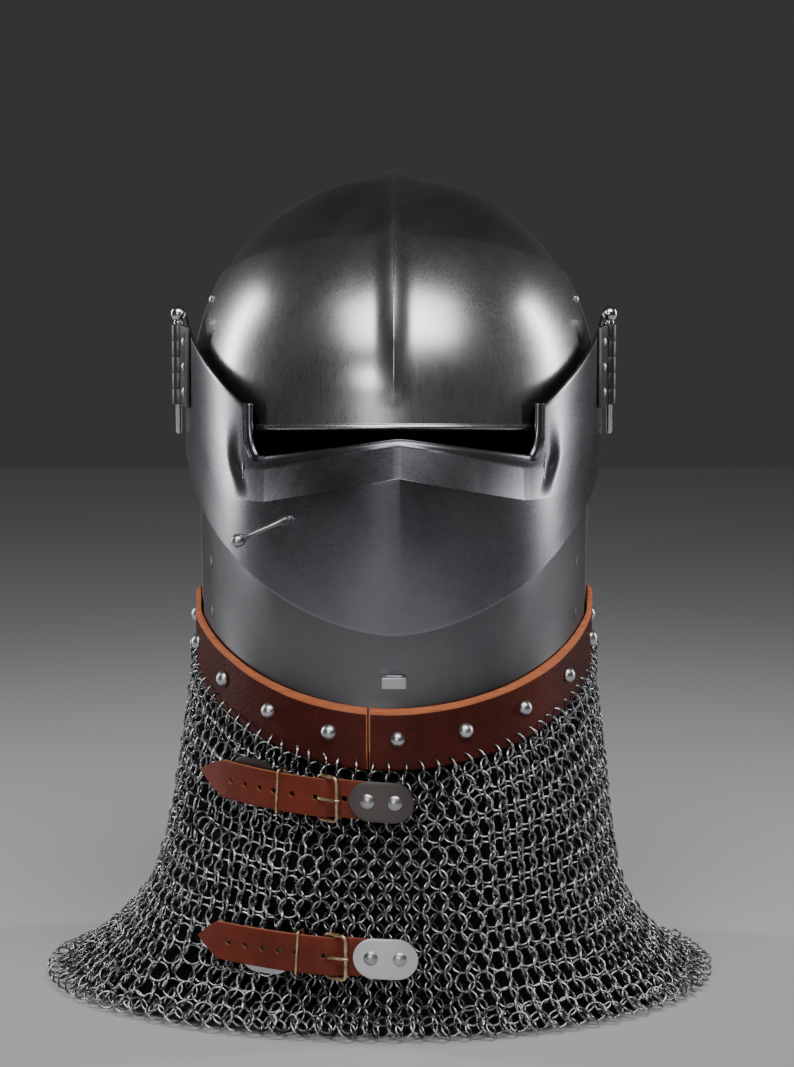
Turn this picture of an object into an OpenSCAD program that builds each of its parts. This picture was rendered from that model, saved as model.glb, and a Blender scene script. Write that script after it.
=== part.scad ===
// Visored helmet with a medial keel, a riveted leather collar and a mail aventail.
// Millimetres. +Z is up, the face looks along -Y, and the mail hem stands on z = 0.
// Plan angles are in degrees, from 0 at the front, positive towards +X.

/* [Skull] */
// Half width of the skull at the temples
skull_half_w = 119; // [117:0.5:121]
// Distance from the temples forward to the brow
skull_front = 131; // [129:0.5:132]
// Distance from the temples back to the nape
skull_back = 137; // [132:1:142]
// Height where the dome starts
dome_z = 370; // [368:1:372]
// Rise of the dome above that height
dome_h = 118; // [114:1:122]
// How far back the crown lies from the temples
crown_shift = 22; // [15:1:28]
// Height of the keel above the dome
keel_h = 6; // [3:0.5:8]
// Thickness of the steel plates
steel_t = 1.6; // [1.4:0.1:1.8]

/* [Brow plate and face opening] */
// Height of the middle of the beaded brow edge
bead_z = 348.5; // [347:0.5:350]
// Radius of the half-round bead
bead_r = 2; // [1.6:0.2:2.4]
// Half width of the opening that the visor covers
face_half_w = 80; // [74:1:84]

/* [Visor] */
// Half width of the visor, outside
visor_half_w = 127; // [126:0.5:128]
// Depth of the visor at its sight edge, outside
visor_front = 149; // [148:0.5:151]
// How far the crease stands in front of the sight edge
crease_out = 16; // [12:1:18]
// Height of the visor's lower point
visor_low_z = 232; // [229:1:236]
// Plan angle of the visor's rear edges
visor_end = 80; // [79:0.5:81]
// Height of the axis that the visor turns on
pivot_z = 380; // [378:1:382]
// Place of that axis behind the middle
pivot_y = 10; // [8:1:12]

/* [Removable hinges] */
// Diameter of the hinge pins
pin_d = 4; // [3.6:0.1:4.4]
// Outer diameter of the hinge knuckles
knuckle_d = 8; // [7.6:0.2:8.4]
// Height of the stack of knuckles
hinge_h = 48; // [44:1:50]

/* [Leather collar] */
// Height of the collar's upper edge at the front
collar_front_z = 187; // [184:1:189]
// Height of the collar's upper edge at the sides
collar_side_z = 240; // [236:1:242]
// Height of the collar band
collar_h = 36; // [34:1:38]
// Thickness of the collar's leather
collar_t = 3.2; // [2.8:0.2:3.4]
// Number of studs round the collar
stud_count = 19; // [17:1:21]
// Diameter of a stud's dome
stud_d = 7.6; // [6.8:0.2:8.4]

/* [Straps] */
// Width of the two buckled straps
strap_w = 22; // [20:1:23]
// Thickness of the strap leather
strap_t = 2.4; // [2.0:0.2:2.6]
// Diameter of the punched holes
punch_d = 3.2; // [2.6:0.2:3.6]

/* [Mail] */
// Thickness of the hanging mail
mail_t = 3; // [2.6:0.1:3.2]

/* [Hidden] */

$fn = 32;
fit = 0.05;             // radial clearance of a pin in its hole
lap = 0.5;              // air between two plates that lie on each other
steel = [0.62, 0.63, 0.66];
bright = [0.75, 0.76, 0.78];
oxblood = [0.32, 0.1, 0.07];
tan_leather = [0.5, 0.2, 0.12];
gold = [0.7, 0.55, 0.3];
cloth = [0.75, 0.7, 0.58];
ring_steel = [0.4, 0.4, 0.42];

plate_out = lap + steel_t;      // outside of a plate that lies on the skull
nape_in = 10;                   // how far the nape draws in below the dome
steel_below = 26;               // steel hidden behind the collar
collar_in = plate_out + lap;
collar_out = collar_in + collar_t;
collar_drop = collar_side_z - collar_front_z;
collar_back_drop = 25;
stud_drop = 17.5;               // studs below the collar's upper edge
seam_angle = -7;                // butt seam of the collar
keel_w = 13;
notch_angle = 43.5;             // plan angle of the sight notch's sides
notch_z = 360;                  // upper corners of that notch
sight_mid_z = 341;
sight_end_z = 328;
crease_x = 3.5;                 // the visor's medial crease sits a little off the middle
hinge_x = visor_half_w + 2.5;
hinge_y = -19;
hinge_low = 353;
arm_in = skull_half_w + plate_out + 1.6;
arm_t = 2.6;
staple_tilt = 17;               // the chin faces down this far where its staple sits

// ---- helpers -----------------------------------------------------------------------------

function clamp01(t) = min(1, max(0, t));
function mix(a, b, t) = a + (b - a) * t;
function smooth(t) = let (c = clamp01(t)) c * c * (3 - 2 * c);
function span(a, b, n) = [for (i = [0 : n]) mix(a, b, i / n)];
function front_of(p) = max(0, cos(p));

// Two triangles for each cell of a grid of rows by columns, starting at point "first"
function grid_faces(rows, cols, wrap, first, flip) = [
    for (i = [0 : rows - 2], j = [0 : (wrap ? cols - 1 : cols - 2)])
        let (k = (j + 1) % cols, a = first + i * cols + j, b = first + i * cols + k,
             c = b + cols, d = a + cols)
        each (flip ? [[a, b, c], [a, c, d]] : [[c, b, a], [d, c, a]])];

// Triangles that join row i of the outer grid to the same row of the inner one
function edge_row(cols, wrap, row, n, flip) = [
    for (j = [0 : (wrap ? cols - 1 : cols - 2)])
        let (a = row * cols + j, b = row * cols + (j + 1) % cols)
        each (flip ? [[a, b, b + n], [a, b + n, a + n]] : [[b + n, b, a], [a + n, b + n, a]])];

function edge_col(rows, cols, col, n, flip) = [
    for (i = [0 : rows - 2])
        let (a = i * cols + col, b = (i + 1) * cols + col)
        each (flip ? [[a, b, b + n], [a, b + n, a + n]] : [[b + n, b, a], [a + n, b + n, a]])];

// A closed plate between two equal grids of points. Rows run upwards, columns towards +angle.
module plate(outer, inner, wrap = false) {
    rows = len(outer);
    cols = len(outer[0]);
    n = rows * cols;
    points = concat([for (r = outer) each r], [for (r = inner) each r]);
    ends = wrap ? [] : concat(edge_col(rows, cols, 0, n, false), edge_col(rows, cols, cols - 1, n, true));
    polyhedron(points, concat(grid_faces(rows, cols, wrap, 0, false), grid_faces(rows, cols, wrap, n, true),
        edge_row(cols, wrap, 0, n, true), edge_row(cols, wrap, rows - 1, n, false), ends));
}

// A closed dome between two grids whose last rows meet in one point each
module dome(outer, inner, outer_tip, inner_tip) {
    rows = len(outer);
    cols = len(outer[0]);
    n = rows * cols;
    points = concat([for (r = outer) each r], [for (r = inner) each r], [outer_tip, inner_tip]);
    top = (rows - 1) * cols;
    caps = [for (j = [0 : cols - 1]) let (k = (j + 1) % cols)
        each [[2 * n, top + k, top + j], [2 * n + 1, n + top + j, n + top + k]]];
    polyhedron(points, concat(grid_faces(rows, cols, true, 0, false), grid_faces(rows, cols, true, n, true),
        edge_row(cols, true, 0, n, true), caps));
}

// ---- surfaces ----------------------------------------------------------------------------

function collar_top(p) = collar_side_z - (cos(p) > 0 ? collar_drop * pow(cos(p), 1.15)
    : collar_back_drop * pow(-cos(p), 1.3));

function skull_depth(p) = cos(p) > 0 ? skull_front : skull_back;

// Height of the keel at a distance x from the middle and a latitude h
function keel(p, h, x) = keel_h * pow(max(0, 1 - abs(x) / keel_w), 2)
    * (cos(p) > 0 ? smooth((h - keel_start) / 30) : smooth((h + 60) / 90));

// A point of the skull. h is a latitude of the dome in degrees, or millimetres below the dome.
function skull_pt(p, h, off) = let (
        lat = max(0, h),
        low = min(0, h),
        x = (skull_half_w + off + 0.015 * low) * cos(lat) * sin(p),
        tuck = cos(p) < 0 ? nape_in * pow(low / 150, 2) : 0,
        k = keel(p, h, x))
    [x, crown_shift * pow(sin(lat), 2) - (skull_depth(p) + off - tuck + k * cos(lat)) * cos(lat) * cos(p),
     dome_z + low + (dome_h + off + k) * sin(lat)];

function latitude(z) = z <= dome_z ? z - dome_z : asin(min(1, (z - dome_z) / dome_h));

// Bevor: the skull's side, bulging forward over the chin
function chin_bulge(p, z) = 16 * smooth((z - collar_top(p) - 1) / 62) * pow(front_of(p), 1.5)
    * smooth((66 - abs(p)) / 30);
function bevor_pt(p, z, off) = skull_pt(p, latitude(z), off) - [0, chin_bulge(p, z), 0];
function bevor_top(p) = 316 + 8 * pow(p / 72, 2);

// Visor edges and surface
function visor_low(p) = visor_low_z + 78 * pow(abs(p) / 71, 1.65);
function sight_low(p) = mix(sight_mid_z, sight_end_z, clamp01(abs(p - 1.5) / 38))
    + 14 * pow(clamp01((abs(p) - 38) / (notch_angle - 38)), 3);
function visor_top(p) = abs(p) < notch_angle ? sight_low(p) : notch_z + 1.27 * (abs(p) - notch_angle);
function crease_z(p) = sight_low(min(36, max(-36, p))) - 17 - 5 * clamp01(abs(p) / 38);
function crease_bump(d) = d > 0 ? crease_out * clamp01(1 - d / 18)
    : crease_out - (crease_out - 4) * pow(-d / 92, 1.4);
function medial(p, z) = 3.5 * max(0, 1 - abs(visor_half_w * sin(p) - crease_x) / 45)
    * smooth((z - 228) / 60) * smooth((352 - z) / 10);
// The visor swells again outside the hollow round the sight notch: 0 in the hollow, 1 on the swell
function beside_notch(p, z) = smooth((abs(p) - 45 + 3.8 * smooth((334 - z) / 26)) / 5.5)
    * (1 - smooth((abs(p) - 58) / 16));
function side_bump(d) = d > 0 ? crease_out * (1 - smooth(d / 50)) : crease_bump(d);
function visor_fold(p, z) = let (d = z - crease_z(p))
    (mix(crease_bump(d), side_bump(d), beside_notch(p, z)) + medial(p, z)) * pow(front_of(p), 1.2);
function visor_pt(p, z, off) = [(visor_half_w + off) * sin(p),
    -(visor_front + off + visor_fold(p, z)) * cos(p), z];

// A hole along the skull's normal at plan angle p and height z
module skull_drill(p, z, d, push = 0) {
    at = skull_pt(p, latitude(z), push);
    translate(at)
        rotate([90 - normal_tilt(z), 0, normal_angle(p)])
            cylinder(h = 40, d = d, center = true);
}
function normal_angle(p) = atan2(sin(p) / skull_half_w, cos(p) / skull_depth(p));
function normal_tilt(z) = max(0, latitude(z));

stud_angles = [for (i = [0 : stud_count - 1]) 1 + 360 / stud_count * i];
function stud_z(p) = collar_top(p) - stud_drop;
function wrapped(p) = p > 180 ? p - 360 : p;
function is_front(p) = abs(wrapped(p)) < 41;

bevor_rivet_places = [for (s = [-1, 1], z = [232, 262]) [s * 66, z]];
brow_rivet_places = [for (s = [-1, 1]) [s * 78, 416]];
liner_rivet_places = [for (p = [100, 126, 154, 206, 234, 260]) [p, 352]];

// ---- steel head ---------------------------------------------------------------------------

keel_angles = [3, 7, 13];
side_angles = span(22, 158, 12);
ring_angles = concat([0], keel_angles, side_angles, [167, 173, 177, 180, 183, 187, 193], span(202, 338, 12),
    [347, 353, 357]);

// Height parameter of row s: 0 to 1 up to where the keel starts, 2 where the dome does, then its latitudes
keel_start = -10;
function skull_h(p, s) = s <= 1 ? mix(collar_top(p) - steel_below - dome_z, keel_start, s) : s - 2;

module skull() color(steel) difference() {
    heights = concat(span(0, 1, 5), [for (lat = [0, 5, 10, 22, 34, 46, 58, 70, 80]) 2 + lat]);
    dome([for (s = heights) [for (p = ring_angles) skull_pt(p, skull_h(p, s), 0)]],
        [for (s = heights) [for (p = ring_angles) skull_pt(p, skull_h(p, s), -steel_t)]],
        skull_pt(0, 90, 0), skull_pt(0, 90, -steel_t));
    translate([0, -20, 0])
        rotate([90, 0, 0])
            linear_extrude(200)
                polygon([[-face_half_w, 100], [face_half_w, 100], [face_half_w, 330], [face_half_w - 18, 352],
                    [18 - face_half_w, 352], [-face_half_w, 330]]);
    for (p = stud_angles) if (!is_front(p)) skull_drill(p, stud_z(p), 3.1);
    for (r = bevor_rivet_places) skull_drill(r[0], r[1], 4.1);
    for (r = brow_rivet_places) skull_drill(r[0], r[1], 3.1);
    for (r = liner_rivet_places) skull_drill(r[0], r[1], 3.1);
    pivot_bore(8.1);
}

module pivot_bore(d) {
    translate([0, pivot_y, pivot_z])
        rotate([0, 90, 0])
            cylinder(h = 300, d = d, center = true);
}

function brow_top(p) = latitude(457 - 30 * pow(1 - cos(p), 1.1));
brow_half = concat(keel_angles, [for (i = [0 : 5]) side_angles[i]], [84]);
brow_angles = concat([for (i = [len(brow_half) - 1 : -1 : 0]) -brow_half[i]], [0], brow_half);
function brow_low(p) = bead_z - 4 * min(1, (1 - cos(p)) / 0.3);

function brow_pt(p, t, off) = skull_pt(p, mix(latitude(brow_low(p)), brow_top(p), t), off);

module brow_plate() color(bright) difference() {
    plate([for (t = span(0, 1, 11)) [for (p = brow_angles) brow_pt(p, t, plate_out)]],
        [for (t = span(0, 1, 11)) [for (p = brow_angles) brow_pt(p, t, lap)]]);
    for (r = brow_rivet_places) skull_drill(r[0], r[1], 3.1);
    pivot_bore(8.1);
}

// Half-round bead along the brow edge
function bead_pt(p, a) = skull_pt(p, latitude(brow_low(p) + 1.8), plate_out + 0.1 + bead_r * cos(a))
    + [0, 0, bead_r * sin(a)];

module brow_bead() color(bright) {
    angles = span(-46, 46, 24);
    ring = span(-90, 90, 6);
    rows = len(angles);
    cols = len(ring);
    points = [for (p = angles, a = ring) bead_pt(p, a)];
    last = (rows - 1) * cols;
    caps = [for (j = [1 : cols - 2]) each [[0, j + 1, j], [last, last + j, last + j + 1]]];
    polyhedron(points, concat(grid_faces(rows, cols, true, 0, true), caps));
}

// A rivet along the skull's normal, head outside and a flat clench inside
module skull_rivet(p, z, out, inside, d_shank, d_head, rise) {
    translate(skull_pt(p, latitude(z), 0))
        rotate([90 - normal_tilt(z), 0, normal_angle(p)])
            rivet(out, inside, d_shank, d_head, rise);
}

// A rivet along +Z: its head sits at z = out, its clench at z = -inside
module rivet(out, inside, d_shank, d_head, rise) {
    sphere_r = (d_head * d_head / 4 + rise * rise) / (2 * rise);
    translate([0, 0, -inside])
        cylinder(h = out + inside + 0.1, d = d_shank);
    translate([0, 0, out])
        rotate_extrude()
            intersection() {
                translate([0, rise - sphere_r])
                    circle(sphere_r, $fn = 64);
                square([d_head / 2, rise + 1]);
            }
    translate([0, 0, -inside - 0.8])
        cylinder(h = 0.8, d = d_shank + 2);
}

module brow_rivets() color(bright)
    for (r = brow_rivet_places) skull_rivet(r[0], r[1], plate_out + 0.4, steel_t + 0.8, 3, 6, 1.4);

// Height on the bevor of row s: 0 to 1 behind the collar, 1 to 2 above it
function bevor_z(p, s) = s <= 1 ? mix(collar_top(p) - steel_below, collar_top(p) + 1, s)
    : mix(collar_top(p) + 1, bevor_top(p), s - 1);

module bevor() color(steel) difference() {
    angles = concat(span(-74, -10, 9), [0], span(10, 74, 9));
    rows = concat([0], span(1, 2, 9));
    plate([for (s = rows) [for (p = angles) bevor_pt(p, bevor_z(p, s), plate_out)]],
        [for (s = rows) [for (p = angles) bevor_pt(p, bevor_z(p, s), lap)]]);
    for (p = stud_angles) if (abs(wrapped(p)) < 76) skull_drill(p, stud_z(p), 3.1);
    for (r = bevor_rivet_places) skull_drill(r[0], r[1], 4.1);
    translate(bevor_pt(0, staple_z, plate_out + 0.35))
        rotate([90 + staple_tilt, 0, 0])
            cylinder(h = 60, d = 4.1, center = true);
}

module bevor_rivets() color(steel)
    for (r = bevor_rivet_places) skull_rivet(r[0], r[1], plate_out + 0.3, steel_t + 0.8, 4, 7.5, 0.8);

staple_z = 204;
staple_w = 14;
staple_h = 7;
staple_rise = 5;
staple_wall = 2.5;

// Small rectangular staple on the chin with its riveted foot
module chin_staple() color(bright) {
    translate(bevor_pt(0, staple_z, plate_out + 0.35))
        rotate([90 + staple_tilt, 0, 0]) {
            difference() {
                translate([-staple_w / 2, -staple_h / 2, 0])
                    cube([staple_w, staple_h, staple_rise]);
                translate([staple_wall - staple_w / 2, -staple_h, 1.5])
                    cube([staple_w - 2 * staple_wall, 2 * staple_h, 1.8]);
            }
            translate([0, 0, -7])
                cylinder(h = 7.1, d = 4);
        }
}

// ---- visor --------------------------------------------------------------------------------

sight_angles = concat([-42.5, -41, -39, -36], span(-30, 30, 12), [36, 39, 41, 42.5]);
side_turns = concat([notch_angle, 45, 47.5, 50], span(54, visor_end, 5));
visor_angles = concat([for (i = [len(side_turns) - 1 : -1 : 0]) -side_turns[i]], sight_angles, side_turns);

function visor_z(p, t) = mix(visor_low(p), visor_top(p), t);

module visor() color(bright) difference() {
    plate([for (t = span(0, 1, 12)) [for (p = visor_angles) visor_pt(p, visor_z(p, t), 0)]],
        [for (t = span(0, 1, 12)) [for (p = visor_angles) visor_pt(p, visor_z(p, t), -steel_t)]]);
    translate(peg_at)
        rotate([90, 0, peg_turn])
            cylinder(h = 20, d = 3.1, center = true);
    for (s = [-1, 1]) leaf_places(s) cylinder(h = 20, d = 3.1, center = true);
}

// The strip that doubles the sight notch from inside: a path of [angle, height] with normals
mm_per_degree = 2.2;
notch_path = concat([[-notch_angle, notch_z - 2], [-notch_angle, 348]],
    [for (p = sight_angles) [p, sight_low(p)]],
    [[notch_angle, 348], [notch_angle, notch_z - 2]]);

function notch_normal(i) = let (
        a = notch_path[max(0, i - 1)],
        b = notch_path[min(len(notch_path) - 1, i + 1)],
        t = [(b[0] - a[0]) * mm_per_degree, b[1] - a[1]])
    [-t[1], t[0]] / norm(t);

function notch_pt(i, side, off) = let (n = notch_normal(i) * side)
    visor_pt(notch_path[i][0] + n[0] / mm_per_degree, notch_path[i][1] + n[1], off);

module sight_rim() color(bright) {
    out = -steel_t - lap;
    steps = [0 : len(notch_path) - 1];
    plate([for (side = [-4, -1, 3]) [for (i = steps) notch_pt(i, side, out)]],
        [for (side = [-4, -1, 3]) [for (i = steps) notch_pt(i, side, out - 1.4)]]);
}

peg_angle = -29;
peg_at = visor_pt(peg_angle, 297, 0);
peg_turn = -27;

// Lifting peg: flared foot, thin rod bent down and out, ball end
module lifting_peg() color(bright) translate(peg_at) {
    rotate([90, 0, peg_turn]) {
        translate([0, 0, -3.2])
            cylinder(h = 4, d = 3);
        translate([0, 0, 0.8])
            rotate_extrude()
                polygon([[0, 0], [4.2, 0], [4.2, 0.8], [2.2, 3.2], [1.5, 6], [0, 6]]);
        translate([0, 0, -4])
            cylinder(h = 0.8, d = 6);
    }
    rotate([90, 0, peg_turn])
        translate([0, 0, 6])
            rotate([18, -32, 0]) {
                cylinder(h = 27, d = 2.8);
                translate([0, 0, 29])
                    sphere(d = 7);
            }
}

// ---- hinges and pivots --------------------------------------------------------------------

knuckle_h = hinge_h / 5;
leaf_gap = 0.2;

// Knuckles number "list" of the stack, bored for the pin
module knuckles(side, list) {
    for (i = list)
        translate([side * hinge_x, hinge_y, hinge_low + i * knuckle_h + leaf_gap / 2])
            cylinder(h = knuckle_h - leaf_gap, d = knuckle_d);
}

module pin_bore(side) {
    translate([side * hinge_x, hinge_y, hinge_low - 20])
        cylinder(h = hinge_h + 40, d = pin_d + 2 * fit);
}

leaf_turn = 13;         // the leaf turns in to follow the visor's side
leaf_t = 1.8;

// Carries its children to the rivets of one leaf, with +Z pointing out of the visor
module leaf_places(side) {
    for (z = [hinge_low + 9, hinge_low + hinge_h / 2, hinge_low + hinge_h - 9])
        translate([side * (visor_half_w - 3.8), -36, z])
            rotate([0, side * 90, -side * leaf_turn])
                children();
}

module visor_leaf(side) color(bright) difference() {
    union() {
        knuckles(side, [0, 2, 4]);
        for (i = [0, 2, 4])
            translate([side * (hinge_x - 1.7) - 1.2, hinge_y - 7, hinge_low + i * knuckle_h + leaf_gap / 2])
                cube([2.4, 7, knuckle_h - leaf_gap]);
        translate([side * (hinge_x - 2.2), hinge_y - 5.5, hinge_low + 0.1])
            rotate([0, 0, -side * leaf_turn])
                translate([-leaf_t / 2, -22, 0])
                    cube([leaf_t, 22 - 0.6, hinge_h - 0.2]);
    }
    pin_bore(side);
    leaf_places(side) cylinder(h = 20, d = 3.1, center = true);
}

module leaf_rivets(side) color(bright)
    leaf_places(side) rivet(2.5, steel_t + 0.3, 3, 5.6, 1.2);

// Arm from the pivot bolt to the hinge
module pivot_arm(side) color(bright) difference() {
    union() {
        translate([side * (arm_in + arm_t / 2), 0, 0])
            rotate([90, 0, 90])
                translate([0, 0, -arm_t / 2])
                    linear_extrude(arm_t)
                        hull() {
                            translate([pivot_y, pivot_z])
                                circle(12);
                            translate([hinge_y + 9, hinge_low + 12])
                                circle(3);
                            translate([hinge_y + 9, hinge_low + hinge_h - 12])
                                circle(3);
                        }
        knuckles(side, [1, 3]);
        for (i = [1, 3])
            translate([side * (arm_in + 2.8) - 2.8, hinge_y + 1, hinge_low + i * knuckle_h + leaf_gap / 2])
                cube([5.6, 8, knuckle_h - leaf_gap]);
    }
    pin_bore(side);
    pivot_bore(8 + 2 * fit);
}

// Removable pin with a ball to pull it by
module hinge_pin(side) color(bright) translate([side * hinge_x, hinge_y, 0]) {
    translate([0, 0, 337])
        cylinder(h = hinge_low + hinge_h + 4 - 337, d = pin_d);
    translate([0, 0, 335.5])
        cylinder(h = 1.6, d1 = pin_d - 1.4, d2 = pin_d, $fn = 32);
    translate([0, 0, hinge_low + hinge_h + 0.3])
        cylinder(h = 2, d = pin_d + 1.6);
    translate([0, 0, hinge_low + hinge_h + 6.6])
        sphere(d = 9.4);
}

bolt_end = skull_half_w - steel_t - 8.8;

// Domed screw that the arm turns on
module pivot_bolt(side) color(bright)
    translate([0, pivot_y, pivot_z])
        rotate([0, side * 90, 0]) {
            translate([0, 0, bolt_end])
                cylinder(h = arm_in + arm_t + 0.3 - bolt_end, d = 8);
            translate([0, 0, arm_in + arm_t + 0.2])
                rotate_extrude()
                    intersection() {
                        translate([0, 3.6 - 16])
                            circle(16, $fn = 96);
                        square([8, 5]);
                    }
            translate([0, 0, skull_half_w + plate_out + 0.15])
                difference() {
                    cylinder(h = 1.3, d = 14);
                    translate([0, 0, -1])
                        cylinder(h = 4, d = 7.9);
                }
        }

module pivot_nut(side) color(steel)
    translate([0, pivot_y, pivot_z])
        rotate([0, side * 90, 0])
            translate([0, 0, bolt_end + 1])
                difference() {
                    union() {
                        cylinder(h = 4, d = 13, $fn = 6);
                        translate([0, 0, 4])
                            cylinder(h = 1, d = 16);
                    }
                    translate([0, 0, -1])
                        cylinder(h = 8, d = 8 + 2 * fit);
                }

// ---- collar and mail ----------------------------------------------------------------------

function collar_pt(p, z, off) = skull_pt(p, min(0, z - dome_z), off);

module leather_collar() color(oxblood) difference() {
    angles = span(seam_angle + 0.4, seam_angle + 359.6, 60);
    rows = [-collar_h, -collar_h / 2, 0];
    plate([for (dz = rows) [for (p = angles) collar_pt(p, collar_top(p) + dz, collar_out)]],
        [for (dz = rows) [for (p = angles) collar_pt(p, collar_top(p) + dz, collar_in)]]);
    for (p = stud_angles) skull_drill(p, stud_z(p), 3.1);
}

module collar_studs() color(bright)
    for (p = stud_angles)
        skull_rivet(p, stud_z(p), collar_out + 0.5, (is_front(p) ? -lap : steel_t) + 2, 3, stud_d, 2.6);

module stud_washers() color(steel)
    for (p = stud_angles)
        translate(skull_pt(p, latitude(stud_z(p)), 0))
            rotate([90, 0, normal_angle(p)])
                translate([0, 0, (is_front(p) ? lap : -steel_t) - 1.9])
                    difference() {
                        cylinder(h = 0.7, d = 8);
                        translate([0, 0, -1])
                            cylinder(h = 3, d = 3 + 2 * fit);
                    }

// Levels of the mail skirt, outside and inside: [height, half width, front, back]
mail_levels = [[132, 128, 143, 146], [90, 133, 149, 151], [58, 143, 154, 156], [36, 153, 157, 160],
    [20, 168, 161, 164], [10, 183, 165, 168], [mail_t, 200, 172, 172]];
mail_inner = [[132, 125, 140, 143], [90, 130, 146, 148], [57, 139.5, 150.5, 152.5], [34, 149.5, 153.5, 156.5],
    [17, 164, 157, 160], [6, 180, 161, 164], [0, 190, 165, 166]];
hem_line = [0, 200, 172, 172];

function mail_pt(level, p) = [sin(p) * level[1], -cos(p) * (cos(p) > 0 ? level[2] : level[3]), level[0]];
function mail_top_pt(p, off) = collar_pt(p, collar_top(p) - collar_h - 1.5, off);

module mail_aventail() color(ring_steel) difference() {
    angles = span(0, 350, 35);
    outer = concat([for (i = [len(mail_levels) - 1 : -1 : 0]) [for (p = angles) mail_pt(mail_levels[i], p)]],
        [[for (p = angles) mail_top_pt(p, collar_out - 0.1)]]);
    inner = concat([for (i = [len(mail_inner) - 1 : -1 : 0]) [for (p = angles) mail_pt(mail_inner[i], p)]],
        [[for (p = angles) mail_top_pt(p, collar_out - 0.1 - mail_t)]]);
    hem = [for (p = angles) mail_pt(hem_line, p)];
    plate(concat([hem], outer), concat([inner[0]], inner), true);
    for (set = strap_sets, a = set[8]) on_arc(set, a, set[2]) cylinder(h = 30, d = 3.3, center = true);
}

// ---- straps -------------------------------------------------------------------------------

// Each strap lies on an arc about an upright axis:
// [centre y, radius of the mail's face, height, tip, shoulder, holes, keeper, buckle bar, rivets,
//  anchor plate ends, buckle plate ends], the last seven as angles on that arc.
strap_sets = [
    [-22, 122.8, 137, -62, -49, [-47, -42, -37, -32.5, -27], -31, -20.2,
        [-6.9, 0.3, -44.5, -37.5], [-11.7, 5.2], [-49, -32.6]],
    [0, 158, 47.5, -44, -38, [-35.7, -31.5, -27.4, -23.7, -19.9], -19.6, -14,
        [-4.7, 1.2, -30.5, -25.5], [-8.3, 4.9], [-34, -21.5]]];

chape_t = 2;
tail_in = 4.8;          // inner face of the strap's tail, measured from the mail's face

// Carries its children to an angle of the arc and a height, with +Z pointing outwards
module on_arc(set, a, z, r = 0) {
    translate([0, set[0], z])
        rotate([0, 0, a])
            translate([0, -(set[1] + r), 0])
                rotate([90, 0, 0])
                    children();
}

// A band on the arc between two angles
module arc_band(set, a, b, r_in, t, w, z = 0) {
    translate([0, set[0], set[2] + z - w / 2])
        rotate([0, 0, a - 90])
            rotate_extrude(angle = b - a, $fn = 180)
                translate([set[1] + r_in, 0])
                    square([t, w]);
}

// Inner face of the strap along the arc: high over the buckle's bar, down on the mail past it
slope_near = 3;         // the strap comes down between these distances past the buckle's bar
slope_far = 12;
strap_end_in = 7.5;     // the anchor plate reaches this far past the strap's end
function arc_angle(set, length) = length * 180 / (PI * set[1]);
function strap_in(set, a) = mix(tail_in, 0.3, smooth(
    ((a - set[7]) / arc_angle(set, 1) - slope_near) / (slope_far - slope_near)));
function strap_half_w(set, a) = strap_w / 2 * mix(0.05, 1, clamp01((a - set[3]) / (set[4] - set[3])));
function arc_pt(set, a, r, z) = [0, set[0], set[2] + z] + (set[1] + r) * [sin(a), -cos(a), 0];

// Both edges of a strap's face, "t" over its inner side, at the angles "turns"
function strap_face(set, turns, t) = [for (s = [-1, 1])
    [for (a = turns) arc_pt(set, a, strap_in(set, a) + t, s * strap_half_w(set, a))]];

module strap(set) color(tan_leather) difference() {
    slope_end = set[7] + arc_angle(set, slope_far);
    tail = span(set[4] + 2, set[7] + 1, 7);
    end = set[9][1] - arc_angle(set, strap_end_in);
    turns = concat([set[3], set[4]], tail, span(set[7] + 1.6, slope_end, 6), span(slope_end + 1.5, end, 4));
    plate(strap_face(set, turns, strap_t), strap_face(set, turns, 0));
    for (a = set[5]) on_arc(set, a, set[2]) cylinder(h = 30, d = punch_d, center = true);
    for (a = [set[8][0], set[8][1]]) on_arc(set, a, set[2]) cylinder(h = 30, d = 3.1, center = true);
    on_arc(set, set[7], set[2]) translate([0.3, 0, 0]) cube([4.6, 3.2, 40], center = true);
}

// Short strap under the tail that holds the buckle's bar
module buckle_strap(set) color(tan_leather) difference() {
    arc_band(set, set[10][0] + 1, set[7] - 0.6, 0.1, chape_t - 0.2, strap_w - 2);
    for (a = [set[8][2], set[8][3]]) on_arc(set, a, set[2]) cylinder(h = 30, d = 3.1, center = true);
}

bar_d = 2;
frame_w = 12;
frame_h = 25.4;

// Rectangular frame, one bar under the tail and one over it
module buckle(set) color(gold) on_arc(set, set[7], set[2], chape_t + bar_d / 2 + 0.15) {
    rise = 5.1;
    slope = atan2(rise, frame_w);
    length = sqrt(rise * rise + frame_w * frame_w);
    rotate([0, -slope, 0]) {
        for (x = [0, length])
            translate([x, 0, 0])
                rotate([90, 0, 0])
                    cylinder(h = frame_h, d = bar_d, center = true);
        for (y = [-1, 1])
            translate([0, y * frame_h / 2, 0])
                rotate([0, 90, 0])
                    cylinder(h = length, d = bar_d);
        for (x = [0, length], y = [-1, 1])
            translate([x, y * frame_h / 2, 0])
                sphere(d = bar_d);
    }
}

// Prong with an eye round the hidden bar: up through the strap, then across to the outer bar
module prong(set) color(gold) on_arc(set, set[7], set[2], chape_t + bar_d / 2 + 0.15) {
    difference() {
        union() {
            rotate([90, 0, 0])
                cylinder(h = 2.4, d = bar_d + 1, center = true);
            translate([0.5, -1, 0.6])
                cube([1.8, 2, 4.6]);
            translate([0.6, -1, 4.5])
                rotate([0, -9.3, 0])
                    cube([13.6, 2, 1.5]);
        }
        rotate([90, 0, 0])
            cylinder(h = 6, d = bar_d + 2 * fit, center = true);
    }
}

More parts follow.
